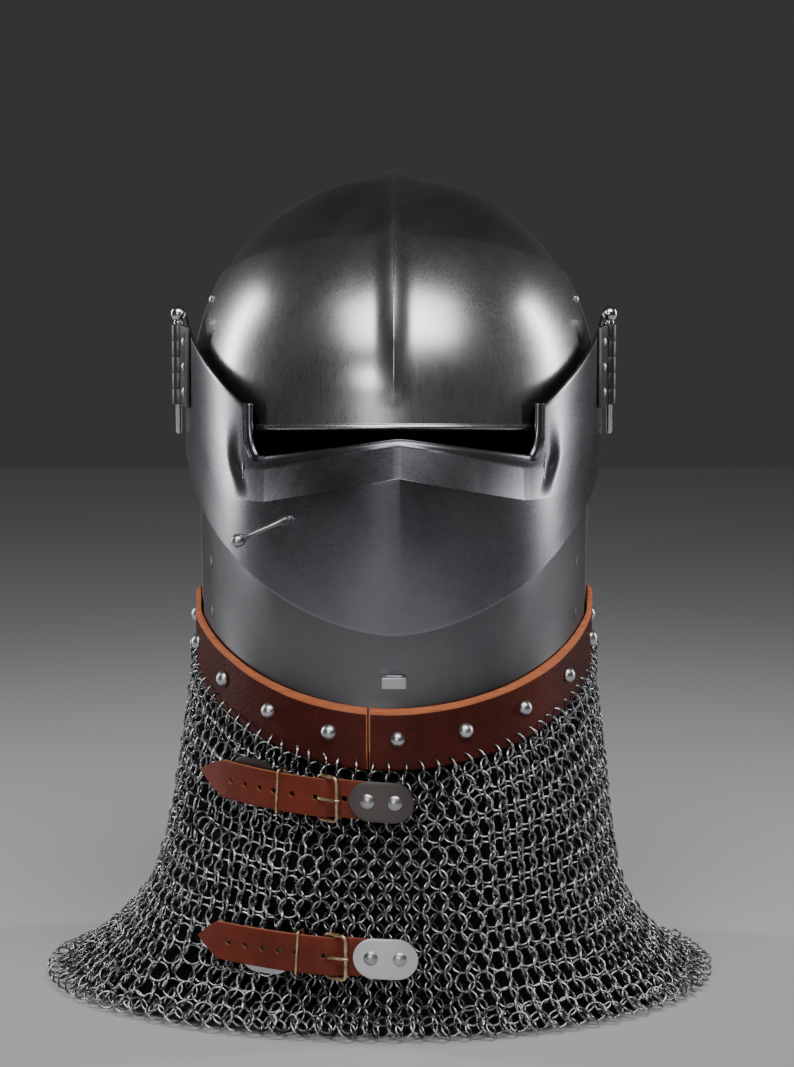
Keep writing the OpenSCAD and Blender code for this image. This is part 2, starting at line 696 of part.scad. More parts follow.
// Wire loop round the tail and the short strap
module keeper(set) color(gold) {
    half = arc_angle(set, 0.9);
    difference() {
        arc_band(set, set[6] - half, set[6] + half, -0.9, tail_in + strap_t + 2.3, strap_w + 4);
        arc_band(set, set[6] - 3, set[6] + 3, -0.1, tail_in + strap_t + 0.4, strap_w + 1);
    }
}

// Stadium plate with two rivet holes
module stadium(set, ends, rivets, r, t, z = 0) {
    w = strap_w + 1.6;
    middle = (ends[0] + ends[1]) / 2;
    run = (ends[1] - ends[0]) * PI / 180 * set[1] - w;
    difference() {
        intersection() {
            arc_band(set, ends[0] - 2, ends[1] + 2, r, t, w + 1, z);
            on_arc(set, middle, set[2] + z)
                translate([0, 0, -30])
                    linear_extrude(60)
                        hull()
                            for (x = [-run / 2, run / 2])
                                translate([x, 0])
                                    circle(w / 2);
        }
        for (a = rivets) on_arc(set, a, set[2]) cylinder(h = 40, d = 3.1, center = true);
    }
}

module anchor_plate(set) color(bright)
    stadium(set, set[9], [set[8][0], set[8][1]], strap_t + 0.5, 1.6);

module buckle_plate(set, z) color(bright)
    stadium(set, set[10], [set[8][2], set[8][3]], chape_t + 0.1, 1, z);

washer_in = 11;         // depth of those washers below the mail's face

module strap_rivets(set) color(bright) {
    for (a = [set[8][0], set[8][1]]) on_arc(set, a, set[2]) rivet(strap_t + 2.2, washer_in + 0.1, 3, 7, 1.8);
    for (a = [set[8][2], set[8][3]]) on_arc(set, a, set[2]) rivet(chape_t + 1.2, washer_in + 0.1, 3, 5, 0.7);
}

// Washers inside the mail, under the strap rivets' clenches
module strap_washers(set) color(steel)
    for (a = set[8])
        on_arc(set, a, set[2], -washer_in)
            difference() {
                cylinder(h = 1, d = 8);
                translate([0, 0, -1])
                    cylinder(h = 3, d = 3 + 2 * fit);
            }

// ---- liner --------------------------------------------------------------------------------

liner_out = -steel_t - 2.4;
liner_t = 12;

module liner_pad() color(cloth) difference() {
    lats = [0.001, 14, 28, 42, 56, 70];
    dome([for (h = lats) [for (p = ring_angles) skull_pt(p, h, liner_out)]],
        [for (h = lats) [for (p = ring_angles) skull_pt(p, h, liner_out - liner_t)]],
        skull_pt(0, 90, liner_out), skull_pt(0, 90, liner_out - liner_t));
    for (s = [-1, 1])
        translate([s * (skull_half_w - 5), pivot_y, pivot_z])
            rotate([0, 90, 0])
                cylinder(h = 12, d = 22, center = true);
}

module liner_band() color(tan_leather) difference() {
    angles = span(84, 276, 32);
    plate([for (z = [344, 360]) [for (p = angles) skull_pt(p, latitude(z), -steel_t - 1)]],
        [for (z = [344, 360]) [for (p = angles) skull_pt(p, latitude(z), -steel_t - 2.8)]]);
    for (r = liner_rivet_places) skull_drill(r[0], r[1], 3.1);
}

module liner_rivets() color(gold)
    for (r = liner_rivet_places) skull_rivet(r[0], r[1], 0.3, steel_t + 3, 3, 6.5, 1.2);

// ---- nodes --------------------------------------------------------------------------------

skull();
brow_plate();
brow_bead();
brow_rivets();
bevor();
bevor_rivets();
chin_staple();
visor();
sight_rim();
lifting_peg();
visor_leaf(-1);  // visor_leaf_left
visor_leaf(1);  // visor_leaf_right
leaf_rivets(-1);  // leaf_rivets_left
leaf_rivets(1);  // leaf_rivets_right
pivot_arm(-1);  // pivot_arm_left
pivot_arm(1);  // pivot_arm_right
hinge_pin(-1);  // hinge_pin_left
hinge_pin(1);  // hinge_pin_right
pivot_bolt(-1);  // pivot_bolt_left
pivot_bolt(1);  // pivot_bolt_right
pivot_nut(-1);  // pivot_nut_left
pivot_nut(1);  // pivot_nut_right
leather_collar();
collar_studs();
stud_washers();
mail_aventail();
liner_pad();
liner_band();
liner_rivets();
strap(strap_sets[0]);  // strap_upper
buckle_strap(strap_sets[0]);  // buckle_strap_upper
buckle(strap_sets[0]);  // buckle_upper
prong(strap_sets[0]);  // prong_upper
keeper(strap_sets[0]);  // keeper_upper
anchor_plate(strap_sets[0]);  // anchor_plate_upper
buckle_plate(strap_sets[0], 3.5);  // buckle_plate_upper
strap_rivets(strap_sets[0]);  // strap_rivets_upper
strap_washers(strap_sets[0]);  // strap_washers_upper
strap(strap_sets[1]);  // strap_lower
buckle_strap(strap_sets[1]);  // buckle_strap_lower
buckle(strap_sets[1]);  // buckle_lower
prong(strap_sets[1]);  // prong_lower
keeper(strap_sets[1]);  // keeper_lower
anchor_plate(strap_sets[1]);  // anchor_plate_lower
buckle_plate(strap_sets[1], -3.5);  // buckle_plate_lower
strap_rivets(strap_sets[1]);  // strap_rivets_lower
strap_washers(strap_sets[1]);  // strap_washers_lower
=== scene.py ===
"""Looks of the visored helmet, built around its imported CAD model.

Metres in the scene; the shapes below are given in mm and degrees. A plan angle p is 0 at the
face and grows towards the wearer's left.
"""

import math
import random

import bmesh
import bpy
import numpy as np
from mathutils import Euler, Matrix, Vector


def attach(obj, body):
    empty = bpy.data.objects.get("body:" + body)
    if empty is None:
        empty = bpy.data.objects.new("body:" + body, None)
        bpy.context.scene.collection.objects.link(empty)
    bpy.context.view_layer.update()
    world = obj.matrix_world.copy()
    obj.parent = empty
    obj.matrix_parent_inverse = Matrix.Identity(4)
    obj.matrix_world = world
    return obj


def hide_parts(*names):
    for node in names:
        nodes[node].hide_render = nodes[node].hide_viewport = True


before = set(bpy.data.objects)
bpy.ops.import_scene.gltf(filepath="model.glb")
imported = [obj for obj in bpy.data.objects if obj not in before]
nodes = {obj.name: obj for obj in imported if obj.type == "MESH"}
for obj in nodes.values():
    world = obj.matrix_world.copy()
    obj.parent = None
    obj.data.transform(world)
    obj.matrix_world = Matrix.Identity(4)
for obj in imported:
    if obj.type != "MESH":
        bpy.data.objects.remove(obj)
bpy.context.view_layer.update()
MM = 0.001
TAU = 2 * math.pi
rng = random.Random(7)
scene = bpy.context.scene

# ---- camera, floor and light ----

TARGET = Vector((0.0018, 0.0, 0.2722))
CAMERA_AT = Vector((0.0018, -2.1836, 0.5403))
LENS, SENSOR = 121.7, 36.0
FLOOR_HALF, FLOOR_Z = 3.0, -0.0004
FLOOR_PALE = (0.60, 0.60, 0.61, 1.0)
STUDIO_GREY, STUDIO_STRENGTH = (0.10, 0.10, 0.105, 1.0), 0.40


def add(obj):
    scene.collection.objects.link(obj)
    return obj


def look_at(obj, at, aim):
    obj.location = at
    obj.rotation_euler = (Vector(aim) - Vector(at)).to_track_quat("-Z", "Y").to_euler()


def make_camera():
    data = bpy.data.cameras.new("camera")
    data.sensor_fit = "VERTICAL"
    data.sensor_height = SENSOR
    data.lens = LENS
    data.clip_end = 50.0
    camera = add(bpy.data.objects.new("camera", data))
    look_at(camera, CAMERA_AT, TARGET)
    scene.camera = camera


def area_light(name, at, aim, size, power, spread):
    data = bpy.data.lights.new(name, "AREA")
    data.shape = "RECTANGLE"
    data.size, data.size_y = size
    data.energy = power
    data.spread = math.radians(spread)
    look_at(add(bpy.data.objects.new(name, data)), at, aim)


def make_lights():
    strip, strip_aim = (0.12, 1.2), (0.0, 0.0, 0.32)
    area_light("key", (0.10, -1.05, 1.62), (0.0, 0.0, 0.58), (1.7, 0.95), 9.0, 90.0)
    area_light("strip_left", (-1.42, 0.52, 0.66), strip_aim, strip, 4.2, 115.0)
    area_light("strip_right", (1.48, 0.36, 0.66), strip_aim, strip, 4.2, 115.0)
    area_light("front_low", (-0.5, -2.3, 0.60), (0.0, -0.10, 0.08), (0.5, 0.5), 1.6, 80.0)
    world = bpy.data.worlds.new("studio")
    world.use_nodes = True
    back = world.node_tree.nodes["Background"]
    back.inputs["Color"].default_value = STUDIO_GREY
    back.inputs["Strength"].default_value = STUDIO_STRENGTH
    scene.world = world


def make_floor():
    bm = bmesh.new()
    bmesh.ops.create_grid(bm, x_segments=8, y_segments=8, size=FLOOR_HALF)
    mesh = bpy.data.meshes.new("floor")
    bm.to_mesh(mesh)
    bm.free()
    floor = add(bpy.data.objects.new("floor", mesh))
    floor.location.z = FLOOR_Z
    material = bpy.data.materials.new("floor_pale")
    material.use_nodes = True
    shader = material.node_tree.nodes["Principled BSDF"]
    shader.inputs["Base Color"].default_value = FLOOR_PALE
    shader.inputs["Roughness"].default_value = 0.55
    mesh.materials.append(material)


make_camera()
make_lights()
make_floor()

# ---- materials ----


class Graph:
    """A material's node tree with short calls for the nodes used here."""

    def __init__(self, name):
        self.material = bpy.data.materials.new(name)
        self.material.use_nodes = True
        self.tree = self.material.node_tree
        self.shader = self.tree.nodes["Principled BSDF"]
        self.place = self.tree.nodes.new("ShaderNodeTexCoord").outputs["Object"]

    def feed(self, socket, value):
        """Links a node's output to the socket, or puts a constant on it."""
        if isinstance(value, bpy.types.NodeSocket):
            self.tree.links.new(value, socket)
        else:
            socket.default_value = value

    def node(self, kind, **sockets):
        node = self.tree.nodes.new("ShaderNode" + kind)
        for key, value in sockets.items():
            self.feed(node.inputs[key.replace("_", " ")], value)
        return node

    def scaled(self, scale, turn=(0, 0, 0)):
        turn = np.radians(turn)
        return self.node("Mapping", Scale=scale, Rotation=turn, Vector=self.place).outputs[0]

    def noise(self, scale, detail=2.0, rough=0.5, vector=None, distortion=0.0):
        node = self.node("TexNoise", Scale=scale, Detail=detail, Roughness=rough,
                         Distortion=distortion, Vector=vector or self.place)
        return node.outputs["Fac"]

    def cells(self, scale):
        return self.node("TexVoronoi", Scale=scale, Vector=self.place).outputs["Distance"]

    def ramp(self, value, low, high, start=0.3, end=0.7):
        node = self.node("MapRange", From_Min=start, From_Max=end, To_Min=low, To_Max=high, Value=value)
        return node.outputs["Result"]

    def mix(self, factor, a, b):
        node = self.tree.nodes.new("ShaderNodeMix")
        node.data_type = "RGBA"
        self.feed(node.inputs[0], factor)
        for socket, value in ((node.inputs[6], a), (node.inputs[7], b)):
            self.feed(socket, (*value, 1.0) if isinstance(value, tuple) else value)
        return node.outputs[2]

    def bump(self, height, distance, strength, over=None):
        node = self.node("Bump", Strength=strength, Distance=distance, Height=height)
        if over is not None:
            self.feed(node.inputs["Normal"], over)
        return node.outputs["Normal"]

    def finish(self, color, rough, normal, **more):
        sockets = {"Base Color": color, "Roughness": rough, "Normal": normal, **more}
        for key, value in sockets.items():
            self.feed(self.shader.inputs[key.replace("_", " ")], value)
        return self.material


def steel(name, light, dark, rough, dents=0.5, brush=(900, 900, 60)):
    """Plate with a cloudy polish, fine brush marks, faint planishing dents and dark stains."""
    g = Graph(name)
    cloud = g.noise(9.0, 4.0, 0.6, distortion=0.6)
    color = g.mix(g.ramp(cloud, 0.0, 1.0, 0.3, 0.72), dark, light)
    stain = g.ramp(g.noise(60.0, 6.0, 0.72), 0.0, 0.30, 0.62, 0.80)
    color = g.mix(stain, color, tuple(0.55 * c for c in dark))
    marks = g.noise(1.0, 2.0, 0.6, g.scaled(brush, (0, 8, 0)))
    cross = g.noise(1.0, 2.0, 0.6, g.scaled((700, 700, 110), (35, 50, 20)))
    spread = g.ramp(cloud, rough - 0.03, rough + 0.05, 0.25, 0.75)
    total = g.tree.nodes.new("ShaderNodeMath")
    total.operation = "ADD"
    for socket, value in zip(total.inputs, (spread, g.ramp(marks, -0.02, 0.025))):
        g.feed(socket, value)
    normal = g.bump(g.noise(20.0, 1.0, 0.4), 0.0011, 0.06 * dents)
    normal = g.bump(marks, 0.00004, 0.08, normal)
    normal = g.bump(cross, 0.00004, 0.06, normal)
    return g.finish(color, total.outputs[0], normal, Metallic=1.0)


def leather(name, color, deep, grain, rough, coat=0.05):
    """Vegetable-tanned leather: pebbled grain, soft tone changes, creases and scuffs."""
    g = Graph(name)
    tone = g.mix(g.ramp(g.noise(24.0, 5.0, 0.65), 0.0, 1.0), deep, color)
    scuff = g.ramp(g.noise(95.0, 6.0, 0.75), 0.0, 0.5, 0.60, 0.82)
    tone = g.mix(scuff, tone, tuple(min(1.0, 1.9 * c + 0.02) for c in color))
    pores = g.cells(grain)
    folds = g.noise(60.0, 4.0, 0.6, g.scaled((1.0, 1.0, 2.4)))
    normal = g.bump(folds, 0.0009, 0.25)
    normal = g.bump(pores, 0.0004, 0.45, normal)
    return g.finish(tone, g.ramp(pores, rough - 0.08, rough + 0.12, 0.1, 0.7), normal,
                    Coat_Weight=coat, Coat_Roughness=0.35, Specular_IOR_Level=0.16)


def raw_leather(name, color, deep):
    """Cut edge of the leather: pale fibres in layers."""
    g = Graph(name)
    layers = g.noise(1.0, 3.0, 0.6, g.scaled((90, 90, 900)))
    tone = g.mix(g.ramp(layers, 0.0, 1.0), deep, color)
    return g.finish(tone, 0.78, g.bump(layers, 0.0003, 0.5))


def brass(name):
    """Worn brass wire with brown tarnish in patches."""
    g = Graph(name)
    patina = g.ramp(g.noise(160.0, 5.0, 0.7), 0.0, 1.0, 0.42, 0.68)
    tone = g.mix(patina, (0.74, 0.58, 0.35), (0.30, 0.20, 0.10))
    return g.finish(tone, g.ramp(g.noise(240.0, 3.0), 0.22, 0.45),
                    g.bump(g.noise(500.0, 3.0), 0.0002, 0.2), Metallic=1.0)


def mail_wire(name):
    """Blackened wire, rubbed bright in patches that fall at random."""
    g = Graph(name)
    worn = g.ramp(g.noise(230.0, 4.0, 0.65), 0.0, 1.0, 0.34, 0.62)
    tone = g.mix(worn, (0.07, 0.07, 0.073), (0.54, 0.54, 0.55))
    return g.finish(tone, g.ramp(g.noise(600.0, 3.0), 0.18, 0.34),
                    g.bump(g.noise(900.0, 2.0), 0.00015, 0.25), Metallic=1.0)


def linen(name):
    """Plain-weave linen in undyed thread."""
    g = Graph(name)
    tone = g.ramp(g.noise(30.0, 4.0, 0.6), 0.0, 1.0)
    tone = g.mix(tone, (0.46, 0.40, 0.29), (0.63, 0.57, 0.44))
    warp = g.noise(1.0, 1.0, 0.4, g.scaled((1500, 1500, 120)))
    weft = g.noise(1.0, 1.0, 0.4, g.scaled((120, 120, 1500)))
    normal = g.bump(weft, 0.0005, 0.5, g.bump(warp, 0.0005, 0.5))
    return g.finish(tone, 0.9, normal, Sheen_Weight=0.3, Sheen_Roughness=0.5)


LOOK = {name: make(name, *values) for name, make, *values in (
    # The same polished steel on every plate, in lit and shaded copies: the brow's lighter base colour
    # is painted light, the skull's darker one is painted shade, and the visor's and bevor's darkest
    # ones are a painted dark reflection of the surroundings.
    ("skull_steel", steel, (0.42, 0.425, 0.44), (0.30, 0.305, 0.32), 0.29),
    ("brow_steel", steel, (0.58, 0.585, 0.60), (0.44, 0.445, 0.46), 0.27, 0.5, (900, 900, 80)),
    ("bevor_steel", steel, (0.20, 0.20, 0.21), (0.12, 0.12, 0.13), 0.34),
    ("visor_steel", steel, (0.29, 0.295, 0.31), (0.17, 0.175, 0.19), 0.27, 0.5, (60, 900, 900)),
    ("hinge_steel", steel, (0.16, 0.155, 0.15), (0.08, 0.077, 0.074), 0.40, 0.2),
    ("rivet_steel", steel, (0.62, 0.62, 0.64), (0.36, 0.36, 0.37), 0.34, 0.2),
    ("pin_steel", steel, (0.74, 0.74, 0.76), (0.50, 0.50, 0.51), 0.17, 0.1),
    ("stud_steel", steel, (0.72, 0.72, 0.74), (0.46, 0.46, 0.48), 0.31, 0.2),
    ("plate_steel", steel, (0.74, 0.74, 0.76), (0.60, 0.60, 0.62), 0.42, 0.3),
    # A darker copy of plate_steel: painted shade on the upper strap's plates.
    ("plate_dark", steel, (0.16, 0.14, 0.135), (0.09, 0.078, 0.074), 0.44, 0.3),
    # Near-black rough steel: painted shade inside the helmet.
    ("inside_steel", steel, (0.045, 0.043, 0.042), (0.025, 0.024, 0.023), 0.62, 0.2),
    ("collar_leather", leather, (0.080, 0.012, 0.007), (0.040, 0.006, 0.004), 520.0, 0.52, 0.02),
    ("strap_leather", leather, (0.185, 0.034, 0.018), (0.10, 0.018, 0.010), 640.0, 0.46),
    ("band_leather", leather, (0.26, 0.13, 0.07), (0.15, 0.07, 0.035), 560.0, 0.55),
    # Near-black sheet behind the mail: painted shade in the gaps between the rings.
    ("backing", leather, (0.006, 0.0045, 0.004), (0.003, 0.0025, 0.002), 420.0, 0.85, 0.0),
    ("raw_edge", raw_leather, (0.60, 0.17, 0.06), (0.38, 0.10, 0.035)),
    ("strap_edge", raw_leather, (0.42, 0.13, 0.055), (0.26, 0.07, 0.03)),
    ("mail_steel", mail_wire), ("liner_cloth", linen), ("brass", brass))}

# ---- mesh helpers ----


def clamp01(t):
    return np.clip(t, 0.0, 1.0)


def smooth(t):
    c = clamp01(t)
    return c * c * (3 - 2 * c)


def sin(a):
    return np.sin(np.radians(a))


def cos(a):
    return np.cos(np.radians(a))


def power(base, exponent):
    return np.power(np.maximum(0.0, base), exponent)


def unit(vectors):
    return vectors / np.linalg.norm(vectors, axis=-1, keepdims=True)


def spaced(*parts):
    """Values from several (start, stop, count) runs, sorted, each once."""
    values = np.concatenate([np.linspace(*part) for part in parts])
    return np.unique(np.round(values, 5))


def circle(count):
    return np.linspace(0, TAU, count, endpoint=False)


def rim_quads(line, other, wrap):
    """Quads between two equal lines of vertex numbers."""
    j = np.arange(len(line) if wrap else len(line) - 1)
    k = (j + 1) % len(line)
    return np.stack([line[j], line[k], other[k], other[j]], -1)


def grid_quads(ids, wrap, flip=False):
    """Quads over a grid of vertex numbers."""
    quads = np.concatenate([rim_quads(ids[i], ids[i + 1], wrap) for i in range(len(ids) - 1)])
    return quads[:, ::-1] if flip else quads


def clean_normals(mesh, merge=None, flatten=False):
    """Turns all faces outwards, after merging points and dissolving flat edges if asked."""
    bm = bmesh.new()
    bm.from_mesh(mesh)
    if merge:
        bmesh.ops.remove_doubles(bm, verts=bm.verts, dist=merge)
    if flatten:
        bmesh.ops.dissolve_limit(bm, angle_limit=math.radians(1.5), verts=bm.verts, edges=bm.edges)
    bmesh.ops.recalc_face_normals(bm, faces=bm.faces)
    bm.to_mesh(mesh)
    bm.free()


def raw_object(name, points, faces, merge=None):
    mesh = bpy.data.meshes.new(name)
    faces = [list(map(int, f)) for f in faces]
    mesh.from_pydata((np.asarray(points, float) * MM).tolist(), [], faces)
    clean_normals(mesh, merge)
    return add(bpy.data.objects.new(name, mesh))


def dress(obj, material, sharp=38.0):
    mesh = obj.data
    mesh.materials.clear()
    mesh.materials.append(LOOK[material])
    mesh.polygons.foreach_set("use_smooth", [True] * len(mesh.polygons))
    mesh.set_sharp_from_angle(angle=math.radians(sharp))


def mesh_object(name, points, faces, material, body="helmet", sharp=38.0):
    obj = raw_object(name, points, faces, 2e-6)
    dress(obj, material, sharp)
    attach(obj, body)
    return obj


def get_points(obj):
    """Vertex places in mm, one row each."""
    co = np.zeros(len(obj.data.vertices) * 3)
    obj.data.vertices.foreach_get("co", co)
    return co.reshape(-1, 3) / MM


def set_points(obj, points):
    obj.data.vertices.foreach_set("co", (points * MM).ravel())
    obj.data.update()


def bake_modifiers(obj):
    bpy.context.view_layer.update()
    depsgraph = bpy.context.evaluated_depsgraph_get()
    shape = bpy.data.meshes.new_from_object(obj.evaluated_get(depsgraph))
    obj.modifiers.clear()
    old = obj.data
    obj.data = shape
    shape.name = old.name
    bpy.data.meshes.remove(old)


def soften(obj, width, angle=50.0):
    """Rounds every edge sharper than the angle."""
    mod = obj.modifiers.new("soft_edges", "BEVEL")
    mod.width = width * MM
    mod.segments = 2
    mod.limit_method = "ANGLE"
    mod.angle_limit = math.radians(angle)
    mod.use_clamp_overlap = True
    bake_modifiers(obj)
    obj.data.set_sharp_from_angle(angle=math.radians(60.0))


def plate(name, outer, inner, material, body="helmet", wrap=False, bevel=0.0, sharp=38.0):
    """A closed plate between two equal grids of points, with softened edges."""
    rows, cols = outer.shape[:2]
    n = rows * cols
    points = np.concatenate([outer.reshape(-1, 3), inner.reshape(-1, 3)])
    ids = np.arange(n).reshape(rows, cols)
    lines = [(ids[0], wrap), (ids[-1], wrap)]
    if not wrap:
        lines += [(ids[:, 0], False), (ids[:, -1], False)]
    faces = [grid_quads(ids, wrap), grid_quads(ids + n, wrap, True)]
    faces += [rim_quads(line, line + n, closed) for line, closed in lines]
    obj = mesh_object(name, points, np.concatenate(faces), material, body, sharp)
    if bevel:
        soften(obj, bevel)
    return obj


def tube(name, path, radius, material, body="helmet", sides=12, closed=False):
    """A rod along a path, its rings turned as little as possible from one to the next."""
    path = np.asarray(path, float)
    if closed:
        tangent = np.roll(path, -1, 0) - np.roll(path, 1, 0)
    else:
        tangent = np.gradient(path, axis=0)
    tangent = unit(tangent)
    up = np.array([0.0, 0.0, 1.0] if abs(tangent[0][2]) < 0.9 else [1.0, 0.0, 0.0])
    a = circle(sides)[:, None]
    rings = []
    for at, t, r in zip(path, tangent, np.broadcast_to(radius, len(path))):
        side = unit(np.cross(t, up))
        up = np.cross(side, t)
        rings.append(at + r * (np.cos(a) * side + np.sin(a) * up))
    ids = np.arange(len(path) * sides).reshape(-1, sides)
    if closed:
        faces = list(grid_quads(np.vstack([ids, ids[:1]]), True))
    else:
        faces = list(grid_quads(ids, True)) + [ids[0][::-1], ids[-1]]
    return mesh_object(name, np.concatenate(rings), faces, material, body)


def lathe(profile, sides=36):
    """Points and faces of a solid turned about +Z, from (radius, height) pairs."""
    a = circle(sides)
    rings = [np.stack([r * np.cos(a), r * np.sin(a), np.full(sides, z)], -1)
             for r, z in profile if r > 0]
    points = np.vstack([*rings, [0, 0, profile[0][1]], [0, 0, profile[-1][1]]])
    ids = np.arange(len(rings) * sides).reshape(-1, sides)
    faces = list(grid_quads(ids, True))
    for j in range(sides):
        k = (j + 1) % sides
        faces += [[ids.size, k, j], [ids.size + 1, ids[-1][j], ids[-1][k]]]
    return points, faces


def dome_profile(radius, rise, skirt, steps=9):
    """Rivet head: a short upright skirt and a cap that is part of a sphere."""
    ball = (radius ** 2 + rise ** 2) / (2 * rise)
    start = math.asin(min(1.0, radius / ball))
    turns = [start * (1 - i / steps) for i in range(steps)]
    cap = [(ball * math.sin(t), ball * math.cos(t) - ball + rise) for t in turns]
    foot = [(0.0, -skirt), (radius - 0.25, -skirt), (radius, -skirt + 0.25)]
    return foot + cap + [(0.0, rise)]


def turned(points, at, out, roll):
    """Points made about +Z, carried so that +Z points along "out"."""
    rot = np.array(Vector((0, 0, 1)).rotation_difference(Vector(out)).to_matrix())
    c, s = math.cos(roll), math.sin(roll)
    return points @ np.array([[c, s, 0], [-s, c, 0], [0, 0, 1]]) @ rot.T + np.asarray(at, float)


def cut(obj, cutter):
    mod = obj.modifiers.new("cut", "BOOLEAN")
    mod.operation = "DIFFERENCE"
    mod.solver = "EXACT"
    mod.object = cutter
    bake_modifiers(obj)
    bpy.data.objects.remove(cutter)


def prism(ring, other):
    """A closed block between two equal outlines."""
    n = len(ring)
    faces = [list(range(n)), list(range(2 * n - 1, n - 1, -1))]
    faces += [[i, (i + 1) % n, n + (i + 1) % n, n + i] for i in range(n)]
    return raw_object("cutter", ring + other, faces)

# ---- the helmet's surfaces, as in the CAD ----

SKULL_HALF_W, SKULL_FRONT, SKULL_BACK = 119.0, 131.0, 137.0
DOME_Z, DOME_H, CROWN_SHIFT = 370.0, 118.0, 22.0
STEEL_T, LAP = 1.6, 0.5
PLATE_OUT = LAP + STEEL_T
COLLAR_IN = PLATE_OUT + LAP
COLLAR_OUT = COLLAR_IN + 3.2
COLLAR_H = 36.0
UNDER_COLLAR = 26.0
VISOR_HALF_W, VISOR_FRONT = 127.0, 149.0
NOTCH_ANGLE, SIGHT_BEND = 43.5, 38.0
CREASE_OUT = 16.0


def collar_top(p):
    return 240 - np.where(cos(p) > 0, 53 * power(cos(p), 1.15), 25 * power(-cos(p), 1.3))


def keel(p, h, x):
    rise = np.where(cos(p) > 0, smooth((h + 10) / 30), smooth((h + 60) / 90))
    return 6.0 * power(1 - np.abs(x) / 13.0, 2) * rise


def skull_pt(p, h, off):
    """A point off the skull; h is its latitude, or mm below the dome if under 0."""
    p, h = np.broadcast_arrays(np.asarray(p, float), np.asarray(h, float))
    lat, low = np.maximum(0, h), np.minimum(0, h)
    x = (SKULL_HALF_W + off + 0.015 * low) * cos(lat) * sin(p)
    tuck = np.where(cos(p) < 0, 10 * (low / 150) ** 2, 0.0)
    k = keel(p, h, x)
    depth = np.where(cos(p) > 0, SKULL_FRONT, SKULL_BACK)
    y = CROWN_SHIFT * sin(lat) ** 2 - (depth + off - tuck + k * cos(lat)) * cos(lat) * cos(p)
    z = DOME_Z + low + (DOME_H + off + k) * sin(lat)
    return np.stack([x, y, z], -1)


def skull_normal(p, tilt=0.0):
    depth = SKULL_FRONT if cos(p) > 0 else SKULL_BACK
    a = math.atan2(sin(p) / SKULL_HALF_W, cos(p) / depth)
    t = math.radians(tilt)
    return np.array([math.sin(a) * math.cos(t), -math.cos(a) * math.cos(t), math.sin(t)])


def latitude(z):
    z = np.asarray(z, float)
    return np.where(z <= DOME_Z, z - DOME_Z, np.degrees(np.arcsin(clamp01((z - DOME_Z) / DOME_H))))


def bevor_pt(p, z, off):
    points = skull_pt(p, latitude(z), off)
    chin = smooth((z - collar_top(p) - 1) / 62) * power(cos(p), 1.5)
    points[..., 1] -= 16 * chin * smooth((66 - np.abs(p)) / 30)
    return points


def visor_low(p):
    return 232 + 78 * power(np.abs(p) / 71, 1.65)


def sight_low(p):
    corner = clamp01((np.abs(p) - SIGHT_BEND) / (NOTCH_ANGLE - SIGHT_BEND))
    return 341 - 13 * clamp01(np.abs(p - 1.5) / SIGHT_BEND) + 14 * corner ** 3


def visor_top(p):
    past = np.abs(p) - NOTCH_ANGLE
    return np.where(past < 0, sight_low(p), 360 + 1.27 * past)


def crease_z(p):
    return sight_low(np.clip(p, -36, 36)) - 17 - 5 * clamp01(np.abs(p) / SIGHT_BEND)


def crease_bump(d):
    return np.where(d > 0, CREASE_OUT * clamp01(1 - d / 18), CREASE_OUT - 12 * power(-d / 92, 1.4))


def side_bump(d):
    return np.where(d > 0, CREASE_OUT * (1 - smooth(d / 50)), crease_bump(np.minimum(d, 0)))


def beside_notch(p, z):
    """0 in the hollow round the sight notch, 1 on the swell outside it."""
    ridge = 46.3 - 3.8 * smooth((334 - z) / 26)
    return smooth((np.abs(p) - ridge + 1.3) / 5.5) * (1 - smooth((np.abs(p) - 58) / 16))


def visor_pt(p, z, off):
    p, z = np.broadcast_arrays(np.asarray(p, float), np.asarray(z, float))
    medial = (3.5 * np.maximum(0, 1 - np.abs(VISOR_HALF_W * sin(p) - 3.5) / 45)
              * smooth((z - 228) / 60) * smooth((352 - z) / 10))
    rise = z - crease_z(p)
    swell = crease_bump(rise) + (side_bump(rise) - crease_bump(rise)) * beside_notch(p, z)
    fold = (swell + medial) * power(cos(p), 1.2)
    return np.stack([(VISOR_HALF_W + off) * sin(p), -(VISOR_FRONT + off + fold) * cos(p), z], -1)


# ---- steel head ----

BEAD_END = 41.6


def capped_shell(name, p, heights, off, thickness, material):
    """A dome over the plan angles p, closed at its crown by one point a side."""
    grids = [np.stack([skull_pt(p, h, depth) for h in heights]).reshape(-1, 3)
             for depth in (off, off - thickness)]
    crowns = [skull_pt(0.0, 90.0, depth)[None] for depth in (off, off - thickness)]
    n, cols = len(grids[0]), len(p)
    ids = np.arange(n).reshape(-1, cols)
    faces = [*grid_quads(ids, True), *grid_quads(ids + n, True, True),
             *rim_quads(ids[0], ids[0] + n, True)]
    top = ids[-1]
    for j in range(cols):
        k = (j + 1) % cols
        faces += [[2 * n, top[j], top[k]], [2 * n + 1, n + top[k], n + top[j]]]
    return mesh_object(name, np.concatenate(grids + crowns), faces, material)


def paint_inside_shade(obj):
    """Gives the faces that look at the wearer's head a near-black rough steel: painted shade for the
    helmet's inside.
    """
    obj.data.materials.append(LOOK["inside_steel"])
    middle = Vector((0.0, 0.0, 0.30))
    for face in obj.data.polygons:
        if face.normal.dot((face.center - middle).normalized()) < -0.25:
            face.material_index = 1


